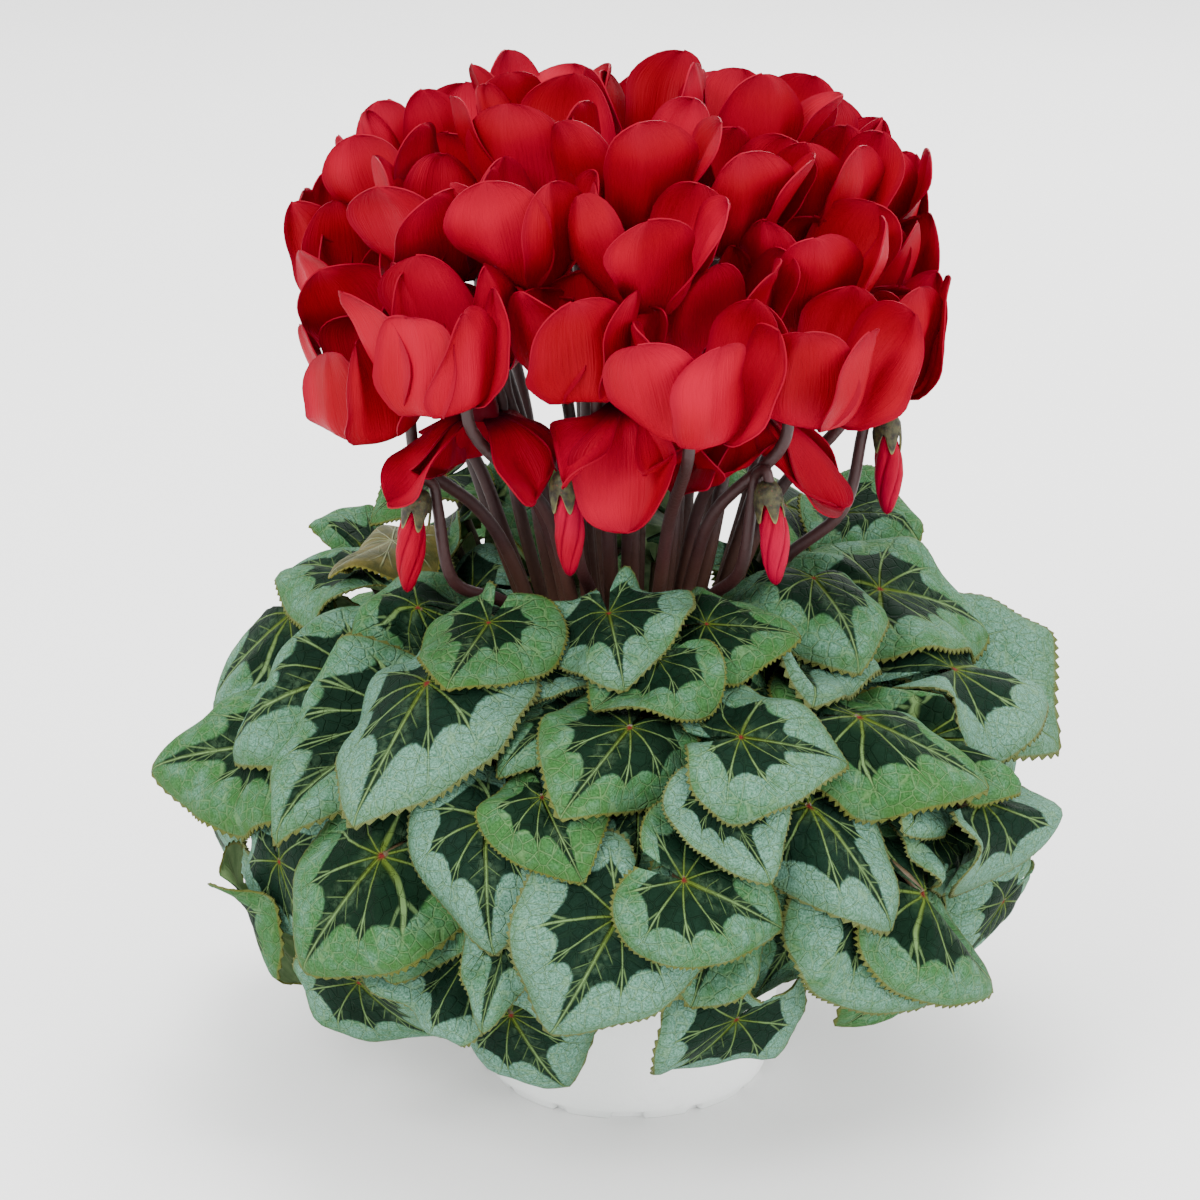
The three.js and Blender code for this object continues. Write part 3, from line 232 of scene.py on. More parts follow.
def grid_faces(rows, columns, first=0, wrap=False):
    faces = []
    for i in range(rows - 1):
        for k in range(columns if wrap else columns - 1):
            a, b = first + i * columns + k, first + i * columns + (k + 1) % columns
            faces.append((a, b, b + columns, a + columns))
    return faces


def capped_faces(rings, around):
    """The faces of a stack of rings, with a cap on the first and on the last."""
    last = (rings - 1) * around
    caps = [tuple(range(around))[::-1], tuple(range(last, last + around))]
    return grid_faces(rings, around, wrap=True) + caps


def sight_of(px, py):
    """The line of sight through a pixel of the photograph: where it starts and its direction."""
    tilt = math.radians(VIEW_ELEVATION)
    ahead = np.array([0.0, math.cos(tilt), -math.sin(tilt)])
    above = np.array([0.0, math.sin(tilt), math.cos(tilt)])
    far = VIEW_DISTANCE * PIXELS_PER_MM
    middle = PHOTO_PIXELS / 2
    ray = unit(ahead + RIGHT * (px - middle) / far + above * (middle - py) / far)
    return VIEW_TARGET - ahead * VIEW_DISTANCE, ray


def on_mound(px, py):
    """The mound's point that shows at a pixel, or the nearest to it where the mound ends short."""
    eye, ray = sight_of(px, py)
    squash = 1 / np.array([MOUND_REACH, MOUND_REACH, MOUND_RISE])
    start = (eye - MOUND_MIDDLE) * squash
    along = ray * squash
    a = along @ along
    b = start @ along
    under = max(b * b - a * (start @ start - 1), 0)
    return eye + ray * (-b - math.sqrt(under)) / a


def seen_place(jx, jy, tx, ty, width):
    """Where a seen leaf lies. Near the mound's edge its joint moves back so that the leaf isn't too long."""
    joint = on_mound(jx, jy)
    tip = on_mound(tx, ty)
    if np.linalg.norm(joint - tip) > LONGEST_LEAF:
        eye, ray = sight_of(jx, jy)
        nearest = eye + ray * ((tip - eye) @ ray)
        back = math.sqrt(max(0, LONGEST_LEAF**2 - ((nearest - tip) ** 2).sum()))
        joint = nearest + ray * math.copysign(back, (joint - nearest) @ ray)
    return joint, tip, width


def mound_at(turn, height, share):
    """The mound's point at a turn, 0 at the back, and a height in degrees, at a share of its size."""
    turn, height = math.radians(turn), math.radians(height)
    flat = MOUND_REACH * math.cos(height)
    way = np.array([flat * math.sin(turn), flat * math.cos(turn), MOUND_RISE * math.sin(height)])
    return MOUND_MIDDLE + way * share


def mound_radius(direction):
    flat = np.hypot(direction[..., 0], direction[..., 1]) / MOUND_REACH
    return 1 / np.hypot(flat, direction[..., 2] / MOUND_RISE)


def ringed_place(draw, turn, height, length, share=1):
    """A leaf of one of the rows round the plant, with its turn, height, veer and width drawn."""
    turn += 10 * (draw() - 0.5)
    height += 8 * (draw() - 0.5)
    veer = math.radians(70 * (draw() - 0.5))
    aside = math.degrees(math.sin(veer) * length / MOUND_REACH) / math.cos(math.radians(height - 20))
    down = math.degrees(length / MOUND_RISE * math.cos(veer))
    tip = mound_at(turn + aside, height - down, share)
    return mound_at(turn, height, share), tip, 1.1 + 0.15 * (draw() - 0.5)


def leaf_places():
    """The joint, tip and width of each leaf on the mound, outermost first, and of each that lies deeper."""
    draw = dice(FAR_SEED)
    far_side = [
        ringed_place(draw, start + (end - start) / (count - 1) * i, height, length)
        for height, count, start, end, length in FAR_ROWS
        for i in range(count)
    ]
    draw = dice(DEEP_SEED)
    deep = [
        ringed_place(draw, 360 * i / count + height, height, length, share)
        for height, count, share, length in DEEP_ROWS
        for i in range(count)
    ]
    return [*far_side, *(seen_place(*leaf) for leaf in SEEN_LEAVES)][::-1], deep


def heart(degrees):
    """The margin's distance from the joint at an angle from the tip, as a share of the length."""
    table = np.array([2 * HEART[0] - HEART[1], *HEART, 0.1])
    at = np.abs(degrees) / HEART_STEP
    i = np.minimum(at.astype(int), len(HEART) - 2)
    t = at - i
    p0, p1, p2, p3 = (table[i + k] for k in range(4))
    return p1 + 0.5 * t * (p2 - p0 + t * (2 * p0 - 5 * p1 + 4 * p2 - p3 + t * (3 * (p1 - p2) + p3 - p0)))


def leaf_frame(place, character):
    """The blade's own axes, and how far its joint and tip stand off the bare mound."""
    joint, tip, width = place
    length = min(max(np.linalg.norm(tip - joint), SHORTEST_LEAF), LONGEST_LEAF)
    along = unit(tip - joint)
    out = (joint + tip) / 2 - MOUND_MIDDLE
    out[2] *= (MOUND_REACH / MOUND_RISE) ** 2
    out = unit(out - along * (out @ along))
    side = np.cross(along, out)
    arms = np.array([joint, tip]) - MOUND_MIDDLE
    standing = np.linalg.norm(arms, axis=1) / mound_radius(unit(arms))
    leaf = dict(joint=joint, length=length, along=along, out=out, side=side, standing=standing, width=width)
    leaf.update(character)
    if 0 < out[1] < FLANK:
        leaf["roll"] = math.copysign(FLANK_ROLL, side[1])
    return leaf


def flat_blade(leaf, degrees, shares, length=1):
    """How far points of the blade lie to the side and ahead of its joint."""
    reach = heart(degrees) * shares * length
    turn = np.radians(degrees)
    return reach * np.sin(turn) * leaf["width"], reach * np.cos(turn)


def blade_arms(leaf, degrees, shares):
    """Points of the blade, before it is tucked in, as directions and distances from the mound's middle."""
    turn = np.radians(degrees)
    length, phase = leaf["length"], leaf["phase"]
    x, y = flat_blade(leaf, degrees, shares, length)
    outer = shares**2
    # Along each vein this angle stays the same, as it sweeps from its ray towards the tip.
    swept_angle = degrees / (1 - VEIN_SWEEP * shares * np.cos(np.radians(degrees) / 2) ** 2)
    pillows = np.abs(np.sin(np.pi * swept_angle / VEIN_STEP))
    rise = sum([
        leaf["fold"] * (np.abs(x) / length),
        -leaf["curl"] * outer * np.sin(turn) ** 2,
        leaf["wave"] * outer * np.sin(3 * turn + phase),
        leaf["frill"] * outer**2 * np.sin(8 * turn + 2 * phase),
        -leaf["droop"] * outer**2 * np.cos(turn / 2) ** 4,
        leaf["lift"] * np.clip(y / length, -0.3, 1),
        leaf["roll"] * x / length,
        leaf["cup"] * outer * smooth(95, CLEFT, np.abs(degrees)),
        -RIM_DOWN * smooth(0.9, 1, shares),
        QUILT * pillows * shares * (1.15 - shares),
    ])
    spots = placed(leaf["joint"], (x, leaf["side"]), (y, leaf["along"]), (rise * length, leaf["out"]))
    arm = spots - MOUND_MIDDLE
    far = np.linalg.norm(arm, axis=-1)
    direction = arm / far[..., None]
    standing = mix(leaf["standing"][0], leaf["standing"][1], np.clip(y / length, 0, 1))
    laid = mound_radius(direction) * standing + rise * length
    return direction, mix(far, laid, LEAF_FOLLOW)


class Field:
    """How low what has been laid reaches: its least distance from the middle in each cell of direction."""

    STEP = 1.5

    def __init__(self):
        self.cells = np.full((int(180 / self.STEP) + 3, int(360 / self.STEP) + 3), np.inf)

    def cell(self, direction, aside=0.0, above=0.0):
        turn = np.degrees(np.arctan2(direction[..., 1], direction[..., 0])) + 180
        height = np.degrees(np.arcsin(np.clip(direction[..., 2], -1, 1))) + 90
        row = np.floor(height / self.STEP + above).astype(int)
        wide = self.STEP / np.maximum(0.2, np.sin(np.radians(row * self.STEP)))
        around = np.ceil(360 / wide).astype(int)
        return row + 1, np.floor(turn / wide + aside).astype(int) % around

    def cover(self, direction, far):
        np.minimum.at(self.cells, self.cell(direction), far)

    def over(self, direction):
        near = [self.cells[self.cell(direction, i, k)] for i in (-0.5, 0.5) for k in (-0.5, 0.5)]
        return np.minimum.reduce(near)

    def cover_stalk(self, line):
        """Leaves are tucked under a stalk where it passes over the mound."""
        turns = np.arange(8) * math.pi / 4
        ring = STALK_SPACE * np.stack([np.cos(turns), np.sin(turns), 0 * turns], 1)
        for a, b in zip(line, line[1:]):
            for t in np.arange(0, 1.01, 0.05):
                middle = mix(a, b, t)
                if math.hypot(middle[0], middle[1]) >= STALK_BEYOND:
                    arms = middle + ring - MOUND_MIDDLE
                    far = np.linalg.norm(arms, axis=1)
                    self.cover(arms / far[:, None], far - STALK_UNDER)


def spread_out(tuck):
    """Eases a blade's tucks over its neighbouring points, never to much less than each point needs."""
    wide = tuck
    for _ in range(3):
        wide = np.maximum.reduce([wide, np.roll(wide, 1, 0), np.roll(wide, -1, 0)])
        wide[:, 1:] = np.maximum(wide[:, 1:], wide[:, :-1] * 0.6)
        wide[:, :-1] = np.maximum(wide[:, :-1], wide[:, 1:] * 0.6)
    for _ in range(4):
        wide = (np.roll(wide, 1, 0) + 2 * wide + np.roll(wide, -1, 0)) / 4
        padded = np.pad(wide, ((0, 0), (1, 1)), mode="edge")
        wide = (padded[:, :-2] + 2 * wide + padded[:, 2:]) / 4
    wide[:, 0] = wide[:, 0].mean()
    wide[:, 1] = mix(wide[:, 0], wide[:, 1], 0.5)
    return np.maximum(wide, tuck * 0.85)


def lay_blade(leaf, field, degrees, shares):
    """Tucks one blade under what is there: it is lowered whole, and then bent where it would still touch."""
    direction, far = blade_arms(leaf, degrees, shares)
    need = far + LEAF_CLEAR - field.over(direction)
    far = far - max(0, need.max()) * LOWERED_WHOLE
    need = np.maximum(0, far + LEAF_CLEAR - field.over(direction))
    far = far - spread_out(need)
    field.cover(direction, far - LEAF_THICK * 2)
    return MOUND_MIDDLE + direction * far[..., None]


def blade_mesh(leaf, spots, degrees, shares, tone, step):
    """Vertices, faces and patterns of a blade: the joint, rings out from it, and teeth round the margin."""
    x, y = flat_blade(leaf, degrees, shares)
    looks = np.stack([x, y, shares], -1)[::step, SHOWN_RINGS].swapaxes(0, 1).reshape(-1, 3)
    vertices = [spots[0, 0], *spots[::step, SHOWN_RINGS].swapaxes(0, 1).reshape(-1, 3)]
    looks = [np.zeros(3), *looks]
    count = ROUND // step + 1
    faces = [(0, 1 + k + 1, 1 + k) for k in range(count - 1)]
    for ring in range(len(SHOWN_RINGS) - 1):
        first = 1 + ring * count
        faces += [(k, k + 1, k + count + 1, k + count) for k in range(first, first + count - 1)]
    rim = len(vertices) - count
    tips = len(vertices)
    for k in range(rim, rim + count - 1):
        edge = (vertices[k] + vertices[k + 1]) / 2
        outward = edge - vertices[k - count]
        vertices.append(edge + outward * TOOTH * leaf["length"] / np.linalg.norm(outward))
        looks.append([*((looks[k] + looks[k + 1])[:2] / 2 * 1.02), 1.03])
        faces.append((k, k + 1, tips + k - rim))
    return vertices, faces, looks, [tone] * len(vertices)


def petiole_line(leaf, joint):
    """The leaf's stalk arches from the tuber to its joint, and over the pot's rim where it hangs low."""
    lift = math.radians(TRUNK_LIFT)
    step = 2 * math.pi / TRUNKS
    turn = round((math.atan2(joint[1], joint[0]) + math.pi / 2) / step) * step - math.pi / 2
    flat = np.array([math.cos(turn), math.sin(turn), 0])
    out = unit(flat * math.cos(lift) / TUBER_RADIUS + UP * math.sin(lift) / TUBER_HALF)
    foot = flat * TUBER_RADIUS * math.cos(lift) + UP * (TUBER_MIDDLE + TUBER_HALF * math.sin(lift)) - out
    low = min(max((ARCH_BELOW - joint[2]) / ARCH_STRETCH, 0), 1)
    rise = foot + out * PETIOLE_REACH + UP * ARCH_UP * low
    near = joint - leaf["out"] * PETIOLE_REACH * 0.8 - leaf["along"] * 5 + UP * ARCH_OVER * low
    return bezier(foot, rise, near, joint - leaf["out"] * LEAF_THICK, np.linspace(0, 1, 14))


def lay_leaves(stalk_lines):
    """Every leaf, laid from the outermost in, with its mesh and its stalk's line."""
    field = Field()
    for line in stalk_lines:
        field.cover_stalk(line)
    draw = dice(FAR_SEED + 1)
    tone_draw = dice(DEEP_SEED + 1)
    degrees = np.linspace(-CLEFT, CLEFT, ROUND + 1)
    degrees, shares = np.meshgrid(degrees, np.linspace(0, 1, RINGS), indexing="ij")
    shown, deep = leaf_places()
    olive = len(SEEN_LEAVES) - 1 - OLIVE_LEAF
    leaves = []
    for index, place in enumerate(shown + deep):
        leaf = leaf_frame(place, {**drawn(LEAF_FORMS, draw), **drawn(LEAF_BENDS, tone_draw)})
        spots = lay_blade(leaf, field, degrees, shares)
        joint = spots[0, 0]
        # How silvery the margin is, and how wide the dark middle
        tone = (0.25 + 0.75 * tone_draw(), tone_draw(), 0)
        mesh = blade_mesh(leaf, spots, degrees, shares, tone, 1 if index < len(shown) else 2)
        leaves.append(dict(joint=joint, mesh=mesh, stalk=petiole_line(leaf, joint), olive=index == olive))
    return leaves


def flower_frame(number, mouth):
    """The flower's own axes: its petals point along up, and its stalk comes from the slot side."""
    mouth = np.array(mouth, float)
    hangs = number in HANGING_TURNS
    reach = math.hypot(mouth[0], mouth[1])
    outward = np.array([mouth[0], mouth[1], 0]) / reach
    tilt = math.radians(TILT * min(1, reach / TILT_AT) * (0.3 if hangs else 1))
    up = UP * math.cos(tilt) + outward * math.sin(tilt)
    slot = UP * math.sin(tilt) - outward * math.cos(tilt)
    body = mouth + up * (-12 if hangs else 19)
    turns, swing = HANGING_TURNS.get(number, EVEN_TURNS), SWINGS.get(number, 0)
    return dict(mouth=mouth, up=up, slot=slot, third=np.cross(up, slot), body=body, hangs=hangs, turns=turns,
                swing=swing, outward=outward)


def stalk_line(mouth, swing, below, hook, gather_reach, gather_height):
    """The stalk's line: out of the tuber's crown, gathered in the mound's opening, and over in a hook."""
    reach = math.hypot(mouth[0], mouth[1])
    share = reach / HEAD_RADIUS
    outward = np.array([mouth[0], mouth[1], 0]) / reach
    foot = outward * CROWN * share + UP * (TUBER_MIDDLE + TUBER_HALF * CROWN_SUNK)
    gather = outward * gather_reach * min(1, share * 1.15) + UP * gather_height
    lead = gather + (below - gather) * 0.45 - outward * 0.06 * reach
    gather, lead = round_up(gather, swing), round_up(lead, swing)
    return [foot, gather, bezier(gather, lead, lead, below, 0.5), below, *hook]


def beside(mouth, out, up, places):
    return [mouth + out * aside + up * high for aside, high in places]


def flower_stalk(flower):
    mouth, swing = flower["mouth"], flower["swing"]
    places = [(HOOK_OUT, -HOOK_BELOW), (HOOK_OUT, 3), (HOOK_OUT * 0.62, 10)]
    places += [(HOOK_OUT * 0.1, HOOK_OVER), (0, HOOK_END)]
    below, *hook = beside(mouth, flower["slot"], flower["up"], places)
    return stalk_line(mouth, swing, below, hook, GATHER, GATHER_HEIGHT)


def bud_stalk(mouth):
    mouth = np.array(mouth, float)
    places = [(-14, -26), (-8, 0), (-6.2, 8), (-1.6, 10.4), (0, 7), (0, 2.5)]
    below, *hook = beside(mouth, unit(mouth * [1, 1, 0]), UP, places)
    return stalk_line(mouth, 0, below, hook, BUD_GATHER, BUD_GATHER_HEIGHT)


def rounded(line, per_stretch=7):
    """The line through its points as one smooth curve."""
    def between(p, q, start, end, t):
        return (end - t) / (end - start) * p + (t - start) / (end - start) * q

    points = np.array(line)
    padded = np.vstack([2 * points[0] - points[1], points, 2 * points[-1] - points[-2]])
    knots = np.concatenate([[0], np.cumsum(np.sqrt(np.linalg.norm(np.diff(padded, axis=0), axis=1)))])
    curve = []
    for i in range(1, len(padded) - 2):
        t0, t1, t2, t3 = knots[i - 1 : i + 3]
        p0, p1, p2, p3 = padded[i - 1 : i + 3]
        t = np.linspace(t1, t2, per_stretch, endpoint=False)[:, None]
        middle = between(p1, p2, t1, t2, t)
        first = between(between(p0, p1, t0, t1, t), middle, t0, t2, t)
        last = between(middle, between(p2, p3, t2, t3, t), t1, t3, t)
        curve.append(between(first, last, t1, t2, t))
    return np.vstack([*curve, points[-1:]])


def wall(normal, middle, room):
    """A flat wall that faces the middle from the side of the normal, with so much room before it."""
    return normal, normal @ middle + room, room


def walls_round(flower, flowers):
    """The flat walls between a flower and its neighbours, and how low and how far out any petal reaches."""
    body, outward = flower["body"], flower["outward"]
    walls = []
    for other in flowers:
        if other is not flower:
            apart = other["body"] - body
            far = np.linalg.norm(apart)
            walls.append(wall(apart / far, body, far / 2 - PETAL_CLEAR))
    walls.append(wall(-UP, body, body[2] - LOWEST_PETAL))
    walls.append((outward, FARTHEST_PETAL, FARTHEST_PETAL - outward @ body))
    walls.append((RIGHT, RIGHTMOST_PETAL, RIGHTMOST_PETAL - body[0]))
    return walls


def walls_beside(middle, lines, reach):
    """The flat walls that keep a petal to its own side of each stretch of stalk and each bud near it."""
    walls = []
    for points, radius in lines:
        for a, b in zip(points, points[1:]):
            along = b - a
            t = min(max((middle - a) @ along / (along @ along), 0), 1)
            apart = a + along * t - middle
            far = np.linalg.norm(apart)
            if far <= reach:
                walls.append(wall(apart / far, middle, max(far - radius - 1, 0.5)))
    return walls


def keep_inside(spots, walls, soft=PETAL_SOFT):
    """A petal pressed against a wall eases along it rather than passing through."""
    for normal, at, room in walls:
        ease = room * (1 - soft)
        past = spots @ normal - (at - ease)
        back = np.where(past > 0, ease * (1 - np.exp(-np.maximum(past, 0) / ease)) - past, 0)
        spots = spots + back[..., None] * normal
    for _ in range(4):
        for normal, at, _room in walls:
            spots = spots + np.minimum(0, at - spots @ normal)[..., None] * normal
    return spots


def evened(moves):
    """Moves of a petal's points, averaged with their neighbours' so that no sharp corner is left."""
    for _ in range(PETAL_EVEN):
        wide = np.pad(moves, ((1, 1), (1, 1), (0, 0)), mode="edge")
        moves = (2 * moves + wide[2:, 1:-1] + wide[:-2, 1:-1] + wide[1:-1, 2:] + wide[1:-1, :-2]) / 6
        moves[-1] = moves[-1].mean(axis=0)
    return moves


def petals_of(flower, draw):
    """The petals of one flower, each drawn a little different. Every other hanging one hangs higher."""
    petals = []
    for k, turn in enumerate(flower["turns"]):
        petal = drawn(PETAL_FORMS, draw)
        petal["turn"] += turn
        petal["rise"] += 90 - (HANGING if flower["hangs"] else UPRIGHT)
        if flower["hangs"]:
            petal["rise"] += HANGING_STAGGER * (-1) ** k
            petal["length"] *= HANGING_LENGTH
            petal["twist"] *= HANGING_TWIST
        petals.append(petal)
    return petals


def petal_form(petal, t, c):
    """A petal's points out, up and sideways from its root, for rows t to the tip and columns c across."""
    phase, length = petal["phase"], petal["length"]
    steps = 48
    s = (np.arange(steps) + 0.5) / steps
    angle = np.radians(mix(SPREAD_START, petal["rise"], smooth(0, SPREAD_BEND, s)) - petal["arch"] * s * s)
    ends = np.concatenate([[0], s + 0.5 / steps])
    out, high = (np.interp(t, ends, np.append(0, np.cumsum(way(angle)) / steps)) for way in (np.cos, np.sin))
    out, high = PETAL_ROOT + out * length, high * length
    angle = np.interp(t, s, angle)
    tip = np.sqrt(np.maximum(0, 1 - (np.maximum(t - TIP_FROM, 0) / (1 - TIP_FROM)) ** 2))
    ripple = 1 + 0.06 * np.sin(9 * t + phase) * c
    half = PETAL_WIDTH / 2 * petal["broad"] * (0.2 + 0.8 * smooth(-0.08, 0.52, t)) * tip * ripple
    twist = np.radians(petal["twist"]) * smooth(0, 0.6, t)
    fold = 2.6 * np.exp(-(((c - 0.35 * math.sin(phase)) / 0.28) ** 2)) * smooth(0.1, 0.45, t)
    wave = petal["wave"] * np.sin(7 * t + phase) * c * np.abs(c) * t
    curl = 4 * math.cos(phase) * smooth(0.66, 1, t) ** 2
    cup = petal["cup"] * c * c * half + (wave - fold) * tip + curl
    sideways = half * c * np.cos(twist) - cup * np.sin(twist)
    off = half * c * np.sin(twist) + cup * np.cos(twist)
    return out - off * np.sin(angle), high + off * np.cos(angle), sideways


def petal_spots(flower, petal, t, c):
    out, high, sideways = petal_form(petal, t, c)
    turn = math.radians(petal["turn"])
    radial = flower["slot"] * math.cos(turn) + flower["third"] * math.sin(turn)
    lateral = flower["third"] * math.cos(turn) - flower["slot"] * math.sin(turn)
    return placed(flower["mouth"], (out, radial), (sideways, lateral), (high, flower["up"]))


def flower_meshes(flower, flowers, lines, draw):
    """The petals of one flower, pressed against its neighbours and the stalks."""
    walls = walls_round(flower, flowers)
    rows = np.linspace(0, TIP_FROM, PETAL_ROWS - TIP_ROWS)
    tip_rows = mix(TIP_FROM, 1, np.sin(np.linspace(0, math.pi / 2, TIP_ROWS + 1)))[1:]
    t, c = np.meshgrid([*rows, *tip_rows], np.linspace(-1, 1, PETAL_COLUMNS + 1), indexing="ij")
    soft, reach = (HANGING_SOFT, HANGING_REACH) if flower["hangs"] else (PETAL_SOFT, PETAL_LENGTH)
    vertices, faces, looks = [], [], []
    for k, petal in enumerate(petals_of(flower, draw)):
        middle = keep_inside(petal_spots(flower, petal, np.array(0.3), np.array(0.0)), walls)
        spots = petal_spots(flower, petal, t, c)
        held = keep_inside(spots, walls + walls_beside(middle, lines, reach), soft)
        spots = spots + evened(held - spots) * smooth(0, 0.12, t)[..., None]
        faces += grid_faces(PETAL_ROWS, PETAL_COLUMNS + 1, len(vertices))
        vertices += list(spots.reshape(-1, 3))
        looks += [(cc, tt, k + petal["phase"]) for tt, cc in zip(t.ravel(), c.ravel())]
    return vertices, faces, looks


def tube_mesh(flower):
    """The flower's short tube: a little bell, mouth down, over the end of the stalk."""
    outline = [(3.4, 3.5), (4.3, 0.8), (4.9, -0.5), (5.5, 0.4), (5.4, 3), (4.4, 6.2), (2.9, 8.6), (1.4, 9.8)]
    around = 30
    turns = full_circle(around)
    vertices = []
    for radius, high in outline:
        scallop = 1 + (0.05 * np.cos(5 * turns) if high < 1 else 0 * turns)
        across, aside = radius * scallop * np.cos(turns), radius * scallop * np.sin(turns)
        ring = placed(0, (across, flower["slot"]), (aside, flower["third"]))
        vertices += list(ring + flower["mouth"] + flower["up"] * high)
    faces = [f[::-1] for f in capped_faces(len(outline), around)]
    return vertices, faces, [(0, 0.0 if i < 2 * around else 0.06, 0) for i in range(len(vertices))]


def bud_meshes(bud):
    """A furled bud, its petals twisted round each other, and the calyx that holds it."""
    mouth, lean = np.array(bud[0], float), bud[1]
    down = unit(np.array([lean, 0, -1.0]))
    side = unit(RIGHT - down * down[0])
    third = np.cross(down, side)
    rows, around = 30, 60
    s = np.linspace(0, 1, rows)[:, None]
    turns = full_circle(around)
    body = np.interp(s, [0, 0.12, 0.3, 0.5, 0.72, 0.9, 0.97, 1], [0.6, 0.8, 0.97, 1, 0.82, 0.5, 0.3, 0.06])
    lap = (turns * BUD_RIBS / (2 * math.pi)) % 1
    radius = BUD_RADIUS * body * (0.84 + 0.2 * np.sin(lap * math.pi) ** 0.6 * (1 - 0.3 * lap))
    spin = turns + np.radians(BUD_TWIST * s)
    bend = 1.6 * np.sin(s * 2.4 + lean * 9)
    aside = radius * np.cos(spin) + bend * 0.5
    spots = placed(mouth, (s * BUD_LENGTH, down), (aside, side), (radius * np.sin(spin), third))
    furled = list(spots.reshape(-1, 3))
    looks = [(lap[k % around] * 2 - 1, 0.3 + 0.7 * (k // around) / rows, 2.0) for k in range(len(furled))]
    calyx = []
    rings = [(1.4, -7.5), (3.1, -6.6), (4.4, -4.2), (4.75, -1.2), (4.9, 1.2), (4.9, 3.4), (4.6, 5.6)]
    widest = rings[3][1]
    pointed = (0.5 + 0.5 * np.cos(5 * turns)) ** 0.8
    for radius, high in rings:
        drop = widest + (high - widest) * pointed if high > widest else np.full(around, high)
        ring = placed(0, (radius * np.cos(turns), side), (radius * np.sin(turns), third))
        calyx += list(placed(mouth + ring, (drop, down)))
    calyx_looks = [(0, (k // around) / (len(rings) - 1), 0) for k in range(len(calyx))]
    calyx_faces = capped_faces(len(rings), around)[:-1]
    return (furled, capped_faces(rows, around), looks), (calyx, calyx_faces, calyx_looks)


def lathe(outline, around, wobble=None):
    """A turned shape, from its outline of radius and height pairs, with a cap at each end."""
    turns = full_circle(around)
    rings = []
    for radius, high in outline:
        r = radius * (1 + (wobble(turns, high) if wobble else 0))
        rings.append(np.stack([r * np.cos(turns), r * np.sin(turns), np.full(around, high)], 1))
    return np.vstack(rings), capped_faces(len(outline), around)


def notch_heights(turns):
    """How high the foot's edge is cut away at each turn: wide arches, and small notches between."""
    heights = np.zeros_like(turns)
    for i in range(NOTCHES):
        width, height = NARROW_NOTCH if i % 3 else WIDE_NOTCH
        middle = 2 * math.pi * i / NOTCHES - math.pi / 2
        aside = np.abs((turns - middle + math.pi) % (2 * math.pi) - math.pi) * POT_BASE
        reach = np.clip((width / 2 + NOTCH_SLOPE / 2 - aside) / NOTCH_SLOPE, 0, 1)
        heights = np.maximum(heights, height * reach)
    return heights


def pot_radius(z):
    return mix(POT_BASE, POT_RIM, z / POT_HEIGHT)


def pot_mesh():
    """The pot: a tapered tub with a banded rim, on a tucked-in foot whose edge is notched."""
    outer, high, bend = pot_radius, POT_HEIGHT, FOOT_BEND
    band = high - BAND_HEIGHT
    rim = POT_RIM + BAND_PROUD
    foot = POT_BASE - FOOT_TUCK
    outline = [
        (0.5, 0), (NOTCH_INSIDE - 0.4, 0), (NOTCH_INSIDE, 0.05),
        (NOTCH_INSIDE + 0.1, 0.1), (foot - 0.7, 0.1), (foot - 0.1, 0.5),
        (outer(bend) - 0.75, bend - 0.3), (outer(bend) - 0.35, bend + 0.2),
        (outer(FOOT_HEIGHT) - 0.12, FOOT_HEIGHT - 1), (outer(FOOT_HEIGHT), FOOT_HEIGHT),
        (outer(40), 40), (outer(70), 70), (outer(band - 0.4), band - 0.4), (outer(band) + 0.3, band + 0.1),
        (outer(band) + 1.3, band + 1.2), (outer(band) + BAND_PROUD, band + 2.2), (rim, high - 1.2),
        (rim - 0.15, high - 0.4), (rim - 0.7, high), (POT_RIM - POT_WALL + 0.6, high),
        (POT_RIM - POT_WALL, high - 0.6), (outer(50) - POT_WALL, 50),
        (outer(FOOT_HEIGHT) - POT_WALL, FOOT_HEIGHT), (foot - POT_WALL - 3, POT_FLOOR), (0.5, POT_FLOOR),
    ]
    around = 360
    vertices, faces = lathe(outline, around)
    # The rings of the foot's edge rise where it is notched.
    for ring in (3, 4, 5):
        vertices[ring * around : (ring + 1) * around, 2] += notch_heights(full_circle(around))
    return vertices, faces


def soil_mesh():
    """The potting mix, level with the pot's inner wall, with a lumpy top that the tuber is sunk in."""
    def inner(z):
        return pot_radius(z) - POT_WALL - 0.35

    around = 120
    low = [(0.5, POT_FLOOR + 0.3), (POT_BASE - FOOT_TUCK - POT_WALL - 4, POT_FLOOR + 0.3), (inner(10), 10)]
    low += [(inner(SOIL_TOP - 2), SOIL_TOP - 2)]
    radii = np.linspace(inner(SOIL_TOP) - 0.4, TUBER_RADIUS - 1, 16)
    vertices, faces = lathe(low + [(r, SOIL_TOP - 1 + 0.6 * math.cos(r / 9)) for r in radii], around)
    draw = dice(SOIL_SEED)
    loose = vertices[len(low) * around + around :]
    for _ in range(SOIL_LUMPS):
        x, y, wide, high = 90 * draw() - 45, 90 * draw() - 45, 3 + 4 * draw(), 2.2 * draw() - 0.9
        far = np.hypot(loose[:, 0] - x * 1.25, loose[:, 1] - y * 1.25)
        loose[:, 2] += high * np.exp(-((far / wide) ** 2))
    return vertices, faces


